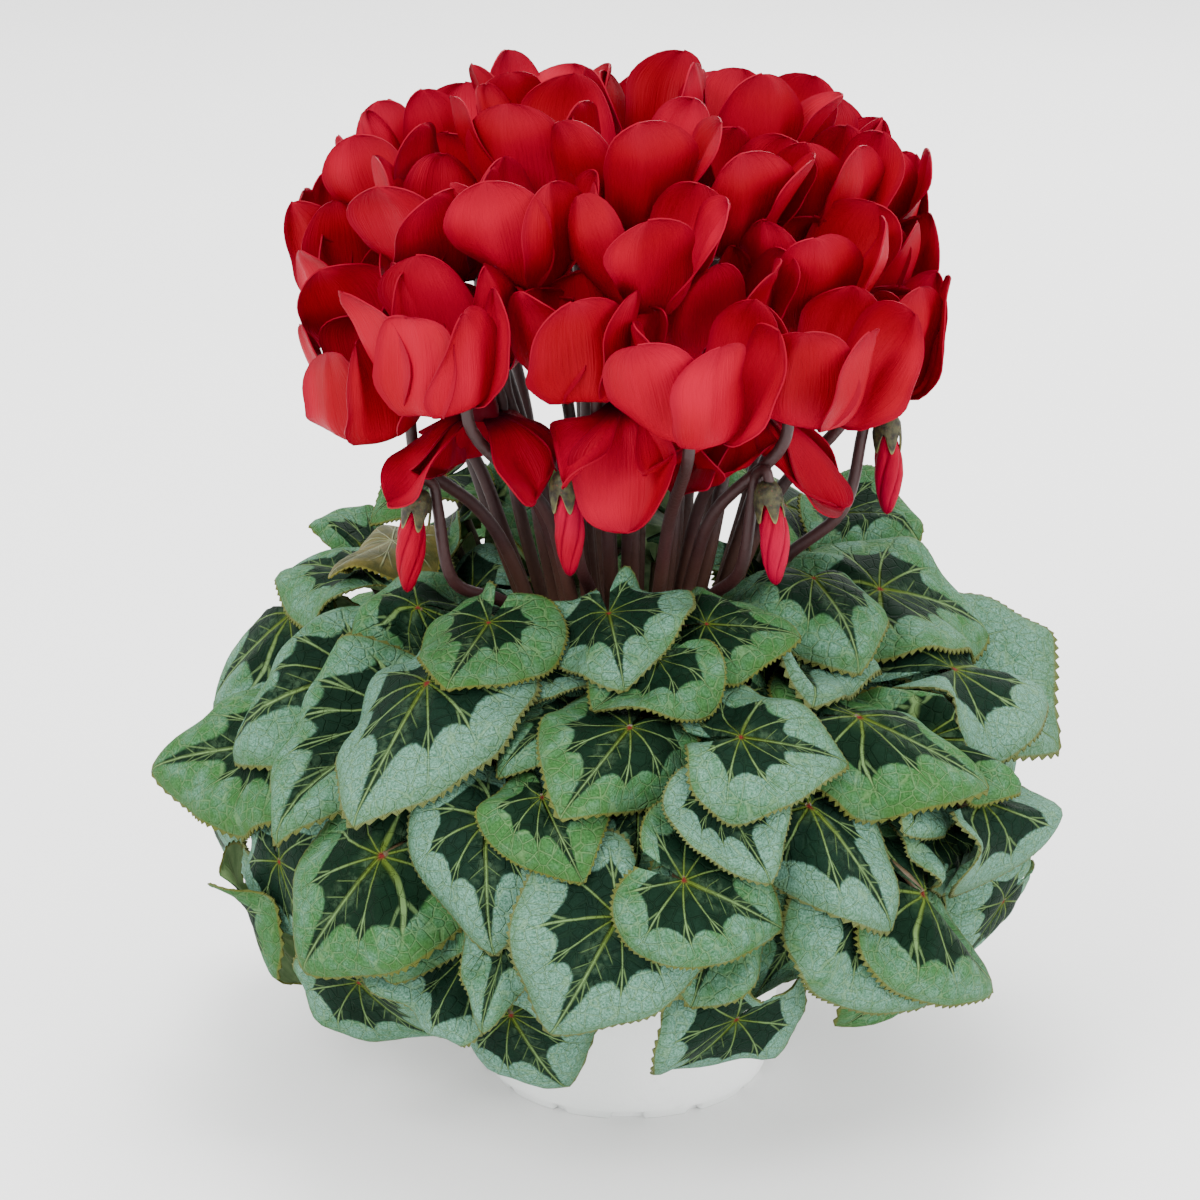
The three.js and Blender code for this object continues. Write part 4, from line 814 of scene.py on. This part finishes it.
def tuber_mesh():
    """The tuber: a corky flattened ball, half sunk in the mix."""
    def wobble(turns, high):
        return 0.014 * np.sin(5 * turns + high / 4) + 0.01 * np.sin(11 * turns - high / 3) - 0.02

    levels = np.radians(np.linspace(-88, 88, 26))
    outline = [(TUBER_RADIUS * math.cos(a), TUBER_MIDDLE + TUBER_HALF * math.sin(a)) for a in levels]
    return lathe(outline, 72, wobble)


def rgb(*shown):
    """A colour given as a screen shows it, 0 to 255, in the linear values that a shader takes."""
    share = np.array(shown) / 255
    return (*np.where(share <= 0.04045, share / 12.92, ((share + 0.055) / 1.055) ** 2.4), 1)


def new_node(tree, kind, inputs, output=0, **settings):
    """The output of a new node, whose inputs are fixed values or are linked to other nodes' outputs."""
    node = tree.nodes.new(kind)
    for name, value in settings.items():
        setattr(node, name, value)
    for name, value in inputs.items():
        value = value.socket if isinstance(value, Amount) else value
        if isinstance(value, bpy.types.NodeSocket):
            tree.links.new(value, node.inputs[name])
        else:
            node.inputs[name].default_value = value
    return node.outputs[output]


class Amount:
    """A value on a surface that is reckoned with like a number: each step is a node of the material."""

    def __init__(self, tree, socket):
        self.tree = tree
        self.socket = socket

    def step(self, operation, *others):
        inputs = dict(enumerate((self, *others)))
        return Amount(self.tree, new_node(self.tree, "ShaderNodeMath", inputs, operation=operation))

    __add__ = __radd__ = partialmethod(step, "ADD")
    __sub__ = partialmethod(step, "SUBTRACT")
    __mul__ = __rmul__ = partialmethod(step, "MULTIPLY")
    __truediv__ = partialmethod(step, "DIVIDE")
    size = partialmethod(step, "ABSOLUTE")
    most = partialmethod(step, "MAXIMUM")

    def __rsub__(self, other):
        return self * -1 + other

    def ramp(self, low, high):
        """0 below low, 1 above high and smooth between: low may also be the higher of the two."""
        inputs = {"Value": self, "From Min": min(low, high), "From Max": max(low, high)}
        risen = new_node(self.tree, "ShaderNodeMapRange", inputs, "Result", interpolation_type="SMOOTHSTEP")
        risen = Amount(self.tree, risen)
        return 1 - risen if low > high else risen


class Finish:
    """One material: a pattern of amounts and colours that ends in a single shader."""

    def __init__(self, name, roughness, gloss=0.5, **fixed):
        self.material = bpy.data.materials.new(name)
        self.material.use_nodes = True
        self.tree = self.material.node_tree
        self.shader = self.tree.nodes["Principled BSDF"]
        for socket, value in dict(Roughness=roughness, Specular_IOR_Level=gloss, **fixed).items():
            self.shader.inputs[socket.replace("_", " ")].default_value = value

    def attribute(self, name):
        """The three amounts that a piece's points carry under this name."""
        carried = new_node(self.tree, "ShaderNodeAttribute", {}, "Vector", attribute_name=name)
        parts = new_node(self.tree, "ShaderNodeSeparateXYZ", {0: carried}).node
        return [Amount(self.tree, part) for part in parts.outputs]

    def vector(self, *amounts):
        return new_node(self.tree, "ShaderNodeCombineXYZ", dict(enumerate(amounts)))

    def pattern(self, kind, output, at=None, feature=None, **inputs):
        """One of the shader's own patterns, laid out over the piece in metres, or over the given vector."""
        at = at or new_node(self.tree, "ShaderNodeTexCoord", {}, "Object")
        settings = dict(feature=feature) if feature else {}
        return Amount(self.tree, new_node(self.tree, kind, dict(Vector=at, **inputs), output, **settings))

    def noise(self, scale, detail=2.0, at=None, rough=0.5):
        return self.pattern("ShaderNodeTexNoise", "Fac", at, Scale=scale, Detail=detail, Roughness=rough)

    def cells(self, scale, feature="F1"):
        return self.pattern("ShaderNodeTexVoronoi", "Distance", None, feature, Scale=scale)

    def painted(self, ground, *coats):
        """The ground colour under coats of paint, each an amount that says where it lies and a colour."""
        for amount, colour in coats:
            inputs = {"Factor": amount, 6: ground, 7: colour}
            ground = new_node(self.tree, "ShaderNodeMix", inputs, 2, data_type="RGBA")
        return ground

    def done(self, colour, relief=None, depth=0, roughness=None):
        """The material with its colour and, where given, its relief, so many metres deep, and roughness."""
        ends = {"Base Color": colour}
        if relief:
            inputs = dict(Distance=depth, Strength=1.0, Height=relief)
            ends["Normal"] = new_node(self.tree, "ShaderNodeBump", inputs, "Normal")
        if roughness:
            ends["Roughness"] = roughness.socket
        for name, socket in ends.items():
            self.tree.links.new(socket, self.shader.inputs[name])
        return self.material


def vein_pattern(finish):
    """Where the veins run: the midrib and its ribs, rays that sweep from the joint to the tip, and forks."""
    x, y, share = finish.attribute("leaf")
    aside = x.size()
    radius = (x * x + y * y).step("SQRT")
    turn = aside.step("ARCTAN2", y) * (180 / math.pi)
    half = (turn * (RADIANS / 2)).step("COSINE")
    sweep = turn / (1 - share * half * half * VEIN_SWEEP)
    steps = sweep / VEIN_STEP
    between = ((steps + 0.5).step("FRACT") - 0.5).size()
    gap = between * VEIN_STEP
    off = radius * (gap * RADIANS).step("SINE")
    wobble = (finish.noise(160, 1.0) - 0.5) * 0.016
    off = (off + wobble * share).size()
    lateral = off.ramp(0.012, 0.003) * share.ramp(0.97, 0.75)
    fork = radius * ((gap - (share - 0.42) * 26).size() * RADIANS).step("SINE")
    forks = fork.size().ramp(0.01, 0.003) * share.ramp(0.46, 0.52) * share.ramp(0.9, 0.7) * 0.55
    midrib = (aside - (1 - y) * 0.011).ramp(0.012, 0.0) * y.ramp(-0.02, 0.05)
    rung = ((y - aside * 0.9) * 7.5).step("FRACT")
    ribs = (rung - 0.5).size().ramp(0.07, 0.02) * (aside - 0.035 - (1 - y) * 0.09).ramp(0.03, -0.01)
    ribs = ribs * y.ramp(0.12, 0.2) * 0.55
    return y, share, aside, between, sweep, midrib, lateral.most(forks).most(ribs)


def leaf_finish():
    """The face of a leaf: dark in the middle, with pale veins, and a margin from silvery to fresh green."""
    finish = Finish("leaf_face", 0.6, 0.03)
    y, share, aside, between, sweep, midrib, veins = vein_pattern(finish)
    silver, wide, _ = finish.attribute("tone")
    cusp = 1 - (between * math.pi).step("SINE").step("POWER", 0.55)
    ragged = (finish.noise(420) - 0.5) * 0.05
    edge = 0.47 + wide * 0.14 + cusp * 0.17 + ragged - sweep.ramp(60, 0) * 0.04
    stripe = ((0.97 - y) * 0.17 - aside + ragged * 0.4).ramp(-0.004, 0.018) * y.ramp(0.25, 0.5)
    dark = (share - edge).ramp(0.03, -0.01).most(stripe)
    smudge = finish.noise(300, 3.0, rough=0.7).ramp(0.42, 0.66) * (aside - 0.02).ramp(0.13, 0.0)
    smudge = smudge * y.ramp(0.95, 0.3) * 0.42
    coarse = finish.noise(130, 3.0)
    fine = finish.noise(1500, 3.0, rough=0.7)
    grain = fine.ramp(0.25, 0.8)
    net = finish.cells(230, "DISTANCE_TO_EDGE").ramp(0.09, 0.02)
    fresh = finish.painted(rgb(32, 68, 30), (grain, rgb(63, 104, 58)))
    pale = finish.painted(rgb(46, 80, 62), (grain, rgb(106, 146, 128)))
    margin = finish.painted(
        fresh,
        ((silver + (coarse - 0.5) * 0.9).ramp(0.2, 0.8), pale),
        (net * 0.3, rgb(100, 128, 84)),
        (finish.noise(3600).ramp(0.62, 0.75) * 0.35, rgb(26, 50, 30)),
        (share.ramp(0.86, 0.97) * 0.35, rgb(54, 80, 32)),
    )
    middle = finish.painted(
        rgb(3, 15, 9),
        (coarse, rgb(10, 31, 18)),
        (share.ramp(0.24, 0.02) * 0.6, rgb(32, 52, 18)),
        (smudge, rgb(64, 86, 62)),
    )
    vein_colour = finish.painted(rgb(76, 94, 32), (share.ramp(0.05, 0.55), rgb(98, 126, 78)))
    colour = finish.painted(
        margin,
        (dark * 0.97, middle),
        (veins * (dark * 0.55 + 0.3), vein_colour),
        (midrib * 0.85, vein_colour),
        (share.ramp(0.98, 1.0) * 0.75, rgb(82, 80, 34)),
        (share.ramp(0.05, 0.01), rgb(92, 28, 28)),
    )
    relief = fine * 0.25 + coarse * 0.4 - veins * 0.8 - midrib * 1.2 - net * 0.5
    return finish.done(colour, relief, 0.0008, 0.6 + fine * 0.14 - dark * 0.08)


def leaf_back_finish(name, dull, pale):
    """The underside: paler, matte, with the same veins standing out."""
    finish = Finish(name, 0.62, 0.25)
    _, share, *_, midrib, veins = vein_pattern(finish)
    patches = finish.noise(180, 3.0).ramp(0.3, 0.7)
    rim = share.ramp(0.985, 1.005) * 0.8
    coats = (patches, pale), (veins.most(midrib) * 0.6, rgb(150, 160, 120)), (rim, rgb(112, 108, 40))
    relief = veins + midrib * 1.5 + finish.noise(1400) * 0.3
    return finish.done(finish.painted(dull, *coats), relief, 0.0006)


def petal_finish(name, base, lit, deep):
    """Velvet, streaked along the petal, with a deeper crimson rim, painted shade that damps the light its
    thin edges catch, and a dark eye at the root.
    """
    sheen = dict(Sheen_Weight=0.02, Sheen_Roughness=0.4, Sheen_Tint=rgb(255, 20, 80))
    finish = Finish(name, 0.5, 0.04, **sheen)
    across, along, seed = finish.attribute("petal")
    streaks = finish.noise(5.0, at=finish.vector(across * 7 + seed, along * 0.7, seed * 3))
    cloud = finish.noise(26, 1.0)
    # rim: painted shade, a deeper crimson over the margins and tip that damps the light the thin edges catch
    rim = across.size().ramp(0.7, 1.0).most(along.ramp(0.8, 1.0)) * 0.6
    glow = cloud.ramp(0.35, 0.7) * 0.6 + streaks * 0.25
    colour = finish.painted(base, (glow, lit), (rim, rgb(112, 0, 26)), (along.ramp(0.2, 0.0), deep))
    return finish.done(colour, streaks + cloud * 0.5, 0.0003)


def stalk_finish():
    """Brown skin, greener on the leaves' stalks, and paler where a stalk leaves the tuber."""
    finish = Finish("stalk_skin", 0.5, 0.4)
    along, leafy, _ = finish.attribute("stalk")
    mottle = finish.noise(60)
    brown = finish.painted(rgb(33, 13, 14), (mottle, rgb(60, 27, 27)))
    green = finish.painted(rgb(78, 50, 38), (mottle, rgb(88, 90, 56)))
    colour = finish.painted(brown, (leafy * 0.7, green), (along.ramp(0.2, 0.0) * 0.6, rgb(120, 88, 66)))
    return finish.done(colour, finish.noise(900), 0.0002)


def calyx_finish():
    finish = Finish("calyx_skin", 0.6, 0.3)
    _, down, _ = finish.attribute("petal")
    colour = finish.painted(
        rgb(26, 23, 15),
        (finish.noise(420, 3.0).ramp(0.3, 0.7), rgb(66, 64, 36)),
        (finish.noise(1600).ramp(0.6, 0.75) * 0.6, rgb(104, 50, 42)),
        (down.ramp(0.86, 1.0) * 0.8, rgb(112, 112, 66)),
    )
    return finish.done(colour, finish.noise(900), 0.0004)


def pot_finish():
    """White moulded plastic, faintly clouded and scuffed."""
    finish = Finish("white_plastic", 0.42, 0.5)
    cloud = finish.noise(14, 3.0)
    grain = finish.noise(900, 3.0)
    scuffs = finish.noise(60, 6.0, rough=0.75).ramp(0.62, 0.74)
    coats = (cloud.ramp(0.35, 0.7), rgb(247, 249, 248)), (scuffs * 0.25, rgb(206, 210, 204))
    colour = finish.painted(rgb(238, 242, 240), *coats)
    return finish.done(colour, grain + cloud * 2, 0.00015, 0.36 + grain * 0.12 + scuffs * 0.12)


def soil_finish():
    finish = Finish("potting_mix", 0.95, 0.2)
    lumps = finish.noise(340, 5.0).ramp(0.3, 0.7)
    straw = finish.noise(900).ramp(0.66, 0.72)
    colour = finish.painted(rgb(26, 18, 13), (lumps, rgb(78, 56, 40)), (straw, rgb(122, 100, 74)))
    return finish.done(colour, finish.cells(260) + finish.noise(700, 4.0), 0.0012)


def tuber_finish():
    finish = Finish("tuber_skin", 0.85, 0.25)
    cork = finish.noise(120, 5.0).ramp(0.3, 0.7)
    colour = finish.painted(rgb(52, 34, 24), (cork, rgb(116, 84, 60)))
    return finish.done(colour, finish.noise(220, 5.0, rough=0.7), 0.0015)


def perlite_finish():
    finish = Finish("perlite", 0.9, 0.3)
    colour = finish.painted(rgb(206, 202, 190), (finish.noise(900, 3.0), rgb(240, 238, 230)))
    return finish.done(colour, finish.noise(1500, 3.0), 0.0004)


def paper_finish():
    finish = Finish("pale_paper", 0.9)
    return finish.done(finish.painted(rgb(240, 240, 240), (finish.noise(3), rgb(246, 246, 245))))


def shaped(vertices, faces, patterns=None, finishes=(), edges=()):
    """A mesh in metres, with patterns of one or of three amounts that its points carry."""
    mesh = bpy.data.meshes.new("draft")
    mesh.from_pydata((np.asarray(vertices) * MM).tolist(), list(edges), [list(map(int, f)) for f in faces])
    for name, amounts in (patterns or {}).items():
        amounts = np.array(amounts, dtype=np.float32)
        kind, field = ("FLOAT", "value") if amounts.ndim == 1 else ("FLOAT_VECTOR", "vector")
        mesh.attributes.new(name, kind, "POINT").data.foreach_set(field, amounts.ravel())
    for finish in finishes:
        mesh.materials.append(finish)
    mesh.shade_smooth()
    return mesh


def made_plain(mesh, dress):
    """The mesh as it is once the modifier that dress() gives it has run."""
    draft = bpy.data.objects.new("draft", mesh)
    bpy.context.collection.objects.link(draft)
    dress(draft)
    bpy.context.view_layer.update()
    done = bpy.data.meshes.new_from_object(draft.evaluated_get(bpy.context.evaluated_depsgraph_get()))
    bpy.data.objects.remove(draft)
    return done


def with_thickness(mesh, thick, back=0):
    def dress(draft):
        wall = draft.modifiers.new("thickness", "SOLIDIFY")
        wall.thickness = thick * MM
        wall.offset = -1
        wall.material_offset = back
        wall.material_offset_rim = 0

    return made_plain(mesh, dress)


def grown(mesh, tree, **amounts):
    """The plain mesh that a geometry tree grows from this one, given its named inputs."""
    def dress(draft):
        grow = draft.modifiers.new(tree.name, "NODES")
        grow.node_group = tree
        for socket in tree.interface.items_tree:
            if socket.in_out == "INPUT" and socket.name in amounts:
                grow[socket.identifier] = amounts[socket.name]

    return made_plain(mesh, dress)


def joined(meshes, recalculate=False, sharp=70):
    """One mesh out of several that share their materials, its edges sharp past so many degrees."""
    merged = bmesh.new()
    for mesh in meshes:
        merged.from_mesh(mesh)
    if recalculate:
        bmesh.ops.recalc_face_normals(merged, faces=merged.faces)
    whole = bpy.data.meshes.new("draft")
    merged.to_mesh(whole)
    merged.free()
    for material in meshes[0].materials:
        whole.materials.append(material)
    whole.shade_smooth()
    whole.set_sharp_from_angle(angle=math.radians(sharp))
    return whole


def closed(form, finish, sharp=70):
    """A closed form in one finish, from its vertices, its faces and what its points carry."""
    vertices, faces, *looks = form
    patterns = dict(petal=looks[0]) if looks else None
    return joined([shaped(vertices, faces, patterns, [finish])], True, sharp)


def piece(name, mesh, slot, *nodes):
    """A finished piece of the plant, which stands for these solids."""
    mesh.name = name
    made = bpy.data.objects.new(name, mesh)
    bpy.context.collection.objects.link(made)
    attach(made, "root")
    if nodes:
        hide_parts(*nodes)


def new_tree(name, **sockets):
    """An empty geometry tree with these named inputs and a skin, and its inputs to build on."""
    tree = bpy.data.node_groups.new(name, "GeometryNodeTree")
    for label, kind in dict(Geometry="Geometry", **sockets, Skin="Material").items():
        tree.interface.new_socket(label, in_out="INPUT", socket_type="NodeSocket" + kind)
    tree.interface.new_socket("Geometry", in_out="OUTPUT", socket_type="NodeSocketGeometry")
    return tree, tree.nodes.new("NodeGroupInput").outputs


def skinned(tree, given, shape):
    """The tree, ended in this shape, made real and given its skin."""
    real = new_node(tree, "GeometryNodeRealizeInstances", {"Geometry": shape})
    skin = new_node(tree, "GeometryNodeSetMaterial", {"Geometry": real, "Material": given["Skin"]})
    tree.links.new(skin, tree.nodes.new("NodeGroupOutput").inputs["Geometry"])
    return tree


def stalk_tree():
    """Sweeps a round profile along each line of a mesh, as thick as its points say."""
    tree, given = new_tree("stalks", Sides="Int", Stoutness="Float")
    line = new_node(tree, "GeometryNodeMeshToCurve", {"Mesh": given["Geometry"]})
    circle = new_node(tree, "GeometryNodeCurvePrimitiveCircle", {"Resolution": given["Sides"], "Radius": 1})
    thick = new_node(tree, "GeometryNodeInputNamedAttribute", {"Name": "thick"}, data_type="FLOAT")
    stout = new_node(tree, "ShaderNodeMath", {0: thick, 1: given["Stoutness"]}, operation="MULTIPLY")
    inputs = {"Curve": line, "Profile Curve": circle, "Scale": stout, "Fill Caps": True}
    sweep = new_node(tree, "GeometryNodeCurveToMesh", inputs)
    return skinned(tree, given, new_node(tree, "GeometryNodeSetShadeSmooth", {"Geometry": sweep}))


def crumb_tree():
    """Strews crumbs over a surface, each of its own size, turned its own way."""
    sizes = dict(Density="Float", Smallest="Float", Largest="Float", Rounds="Int", Seed="Int")
    tree, given = new_tree("crumbs", **sizes)
    seed = given["Seed"]

    def random_value(kind, output, inputs):
        return new_node(tree, "FunctionNodeRandomValue", {**inputs, "Seed": seed}, output, data_type=kind)

    inputs = {"Mesh": given["Geometry"], "Density": given["Density"], "Seed": seed}
    places = new_node(tree, "GeometryNodeDistributePointsOnFaces", inputs, "Points")
    crumb = new_node(tree, "GeometryNodeMeshIcoSphere", {"Radius": 1, "Subdivisions": given["Rounds"]})
    size = random_value("FLOAT", 1, {2: given["Smallest"], 3: given["Largest"]})
    form = random_value("FLOAT_VECTOR", "Value", {"Min": (0.7, 0.6, 0.5), "Max": (1.2, 1, 0.9)})
    turn = random_value("FLOAT_VECTOR", "Value", {"Max": (FULL_TURN, FULL_TURN, FULL_TURN)})
    scale = new_node(tree, "ShaderNodeVectorMath", {"Vector": form, "Scale": size}, operation="SCALE")
    inputs = {"Points": places, "Instance": crumb, "Rotation": turn, "Scale": scale}
    return skinned(tree, given, new_node(tree, "GeometryNodeInstanceOnPoints", inputs))


def swept(lines, skin, sides):
    """One mesh of stalks, each given as its points, its radius at each end, and how green it is."""
    vertices, edges, thick, looks = [], [], [], []
    for points, near, far, leafy in lines:
        first = len(vertices)
        share = np.linspace(0, 1, len(points))
        vertices += list(points)
        edges += [(first + k, first + k + 1) for k in range(len(points) - 1)]
        thick += list(mix(near, far, share) * MM)
        looks += [(s, leafy, 0) for s in share]
    mesh = shaped(vertices, [], dict(stalk=looks, thick=thick), edges=edges)
    return grown(mesh, stalk_tree(), Sides=sides, Stoutness=1.0, Skin=skin)


def dress_pot():
    piece("pot_wall", closed(pot_mesh(), pot_finish(), 35), "pot", "pot")
    vertices, faces = soil_mesh()
    potting_mix = soil_finish()
    piece("soil_bed", closed((vertices, faces), potting_mix), "soil", "soil")
    shown = [f for f in faces if len(f) == 4 and min(vertices[k][2] for k in f) > SOIL_TOP - SOIL_SHOWN]
    top = shaped(vertices, shown)
    for name, skin, smallest, largest, amounts in (
        ("soil_crumbs", potting_mix, 0.6, 1.7, dict(Density=170000.0, Rounds=1, Seed=5)),
        ("perlite_grains", perlite_finish(), 0.7, 1.5, dict(Density=15000.0, Rounds=2, Seed=9)),
    ):
        sizes = dict(Smallest=smallest * MM, Largest=largest * MM, **amounts)
        piece(name, grown(top, crumb_tree(), Skin=skin, **sizes), "soil")
    piece("tuber", closed(tuber_mesh(), tuber_finish()), "stalk", "tuber_and_flower_stalks")


def nearest_sprays(leaves):
    """The leaves of each of the part's leaf sprays: those whose joints its solid comes closest to."""
    sprays = sorted(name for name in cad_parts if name.startswith("leaf_spray"))
    corners = {name: np.array([v.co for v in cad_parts[name].data.vertices]) for name in sprays}
    groups = {name: [] for name in sprays}
    for leaf in leaves:
        gaps = {name: np.linalg.norm(corners[name] - leaf["joint"] * MM, axis=1).min() for name in sprays}
        groups[min(gaps, key=gaps.get)].append(leaf)
    return groups


def dress_leaves(leaves, skin):
    face = leaf_finish()
    back = leaf_back_finish("leaf_back", rgb(92, 122, 74), rgb(126, 152, 102))
    olive = leaf_back_finish("leaf_back_olive", rgb(54, 58, 22), rgb(92, 86, 38))
    for number, (node, group) in enumerate(nearest_sprays(leaves).items(), 1):
        blades, turned = [], []
        for leaf in group:
            vertices, faces, looks, tones = leaf["mesh"]
            finishes = [olive, olive] if leaf["olive"] else [face, back]
            blade = shaped(vertices, faces, dict(leaf=looks, tone=tones), finishes)
            (turned if leaf["olive"] else blades).append(with_thickness(blade, LEAF_THICK, back=1))
        piece(f"leaves_{number:02d}", joined(blades), "leaf", node)
        if turned:
            piece("leaf_seen_from_below", joined(turned), "leaf", node)
    lines = [(leaf["stalk"], PETIOLE_THICK + 0.2, PETIOLE_THICK - 0.2, 1.0) for leaf in leaves]
    piece("leaf_stalks", swept(lines, skin, 12), "stalk")


def dress_flowers(flowers, lines):
    petal = petal_finish("petal_velvet", rgb(122, 1, 13), rgb(160, 1, 39), rgb(36, 1, 11))
    draw = dice(PETAL_SEED)
    for number, flower in enumerate(flowers, 1):
        vertices, faces, looks = flower_meshes(flower, flowers, lines, draw)
        petals = with_thickness(shaped(vertices, faces, dict(petal=looks), [petal]), PETAL_THICK)
        bloom = joined([petals, closed(tube_mesh(flower), petal)])
        piece(f"bloom_{number:02d}", bloom, "petal", f"flower_{number:02d}")


def dress_buds():
    furled_skin = petal_finish("bud_velvet", rgb(142, 0, 26), rgb(172, 2, 54), rgb(84, 2, 16))
    sepal = calyx_finish()
    for number, bud in enumerate(BUDS, 1):
        furled, (vertices, faces, looks) = bud_meshes(bud)
        piece(f"furled_petals_{number:02d}", closed(furled, furled_skin), "bud", f"bud_{number:02d}")
        calyx = shaped(vertices, faces, dict(petal=looks), [sepal])
        piece(f"calyx_{number:02d}", joined([with_thickness(calyx, SEPAL_THICK)]), "stalk")


def set_stage():
    """The camera where the photograph was taken from, soft studio light and a pale floor."""
    collection = bpy.context.collection
    lens = bpy.data.cameras.new("view")
    lens.sensor_width = SENSOR
    lens.lens = SENSOR * VIEW_DISTANCE * PIXELS_PER_MM / PHOTO_PIXELS
    eye = bpy.data.objects.new("view", lens)
    rise = math.radians(VIEW_ELEVATION)
    eye.location = (VIEW_TARGET + VIEW_DISTANCE * np.array([0, -math.cos(rise), math.sin(rise)])) * MM
    eye.rotation_euler = (math.radians(90 - VIEW_ELEVATION), 0, 0)
    collection.objects.link(eye)
    bpy.context.scene.camera = eye
    for name, place, turn, width, strength in LIGHTS:
        lamp = bpy.data.lights.new(name, "AREA")
        lamp.shape = "DISK"
        lamp.size = width
        lamp.energy = strength
        held = bpy.data.objects.new(name, lamp)
        held.location = place
        held.rotation_euler = [math.radians(a) for a in turn]
        collection.objects.link(held)
    sky = bpy.data.worlds.new("studio")
    bpy.context.scene.world = sky
    sky.use_nodes = True
    sky.node_tree.nodes["Background"].inputs["Color"].default_value = (1, 1, 1, 1)
    sky.node_tree.nodes["Background"].inputs["Strength"].default_value = SKY_STRENGTH
    corners = [(x * FLOOR_REACH, y * FLOOR_REACH, 0) for x, y in ((-1, -1), (1, -1), (1, 1), (-1, 1))]
    floor = bpy.data.objects.new("floor", shaped(corners, [(0, 1, 2, 3)], finishes=[paper_finish()]))
    collection.objects.link(floor)


def build():
    set_stage()
    dress_pot()
    skin = stalk_finish()
    flowers = [flower_frame(number, mouth) for number, mouth in enumerate(FLOWERS)]
    lines = [rounded(flower_stalk(flower)) for flower in flowers]
    lines += [rounded(bud_stalk(mouth)) for mouth, _lean in BUDS]
    dress_leaves(lay_leaves(lines), skin)
    stalks = [(line, STALK_THICK + 0.25, HOOK_THICK, 0.0) for line in lines]
    piece("flower_stalks", swept(stalks, skin, 16), "stalk", "tuber_and_flower_stalks")
    guards = [(line[::3], STALK_THICK) for line in lines]
    guards += [([np.array(mouth, float), mouth - UP * BUD_LENGTH], BUD_RADIUS) for mouth, _lean in BUDS]
    dress_flowers(flowers, guards)
    dress_buds()


build()
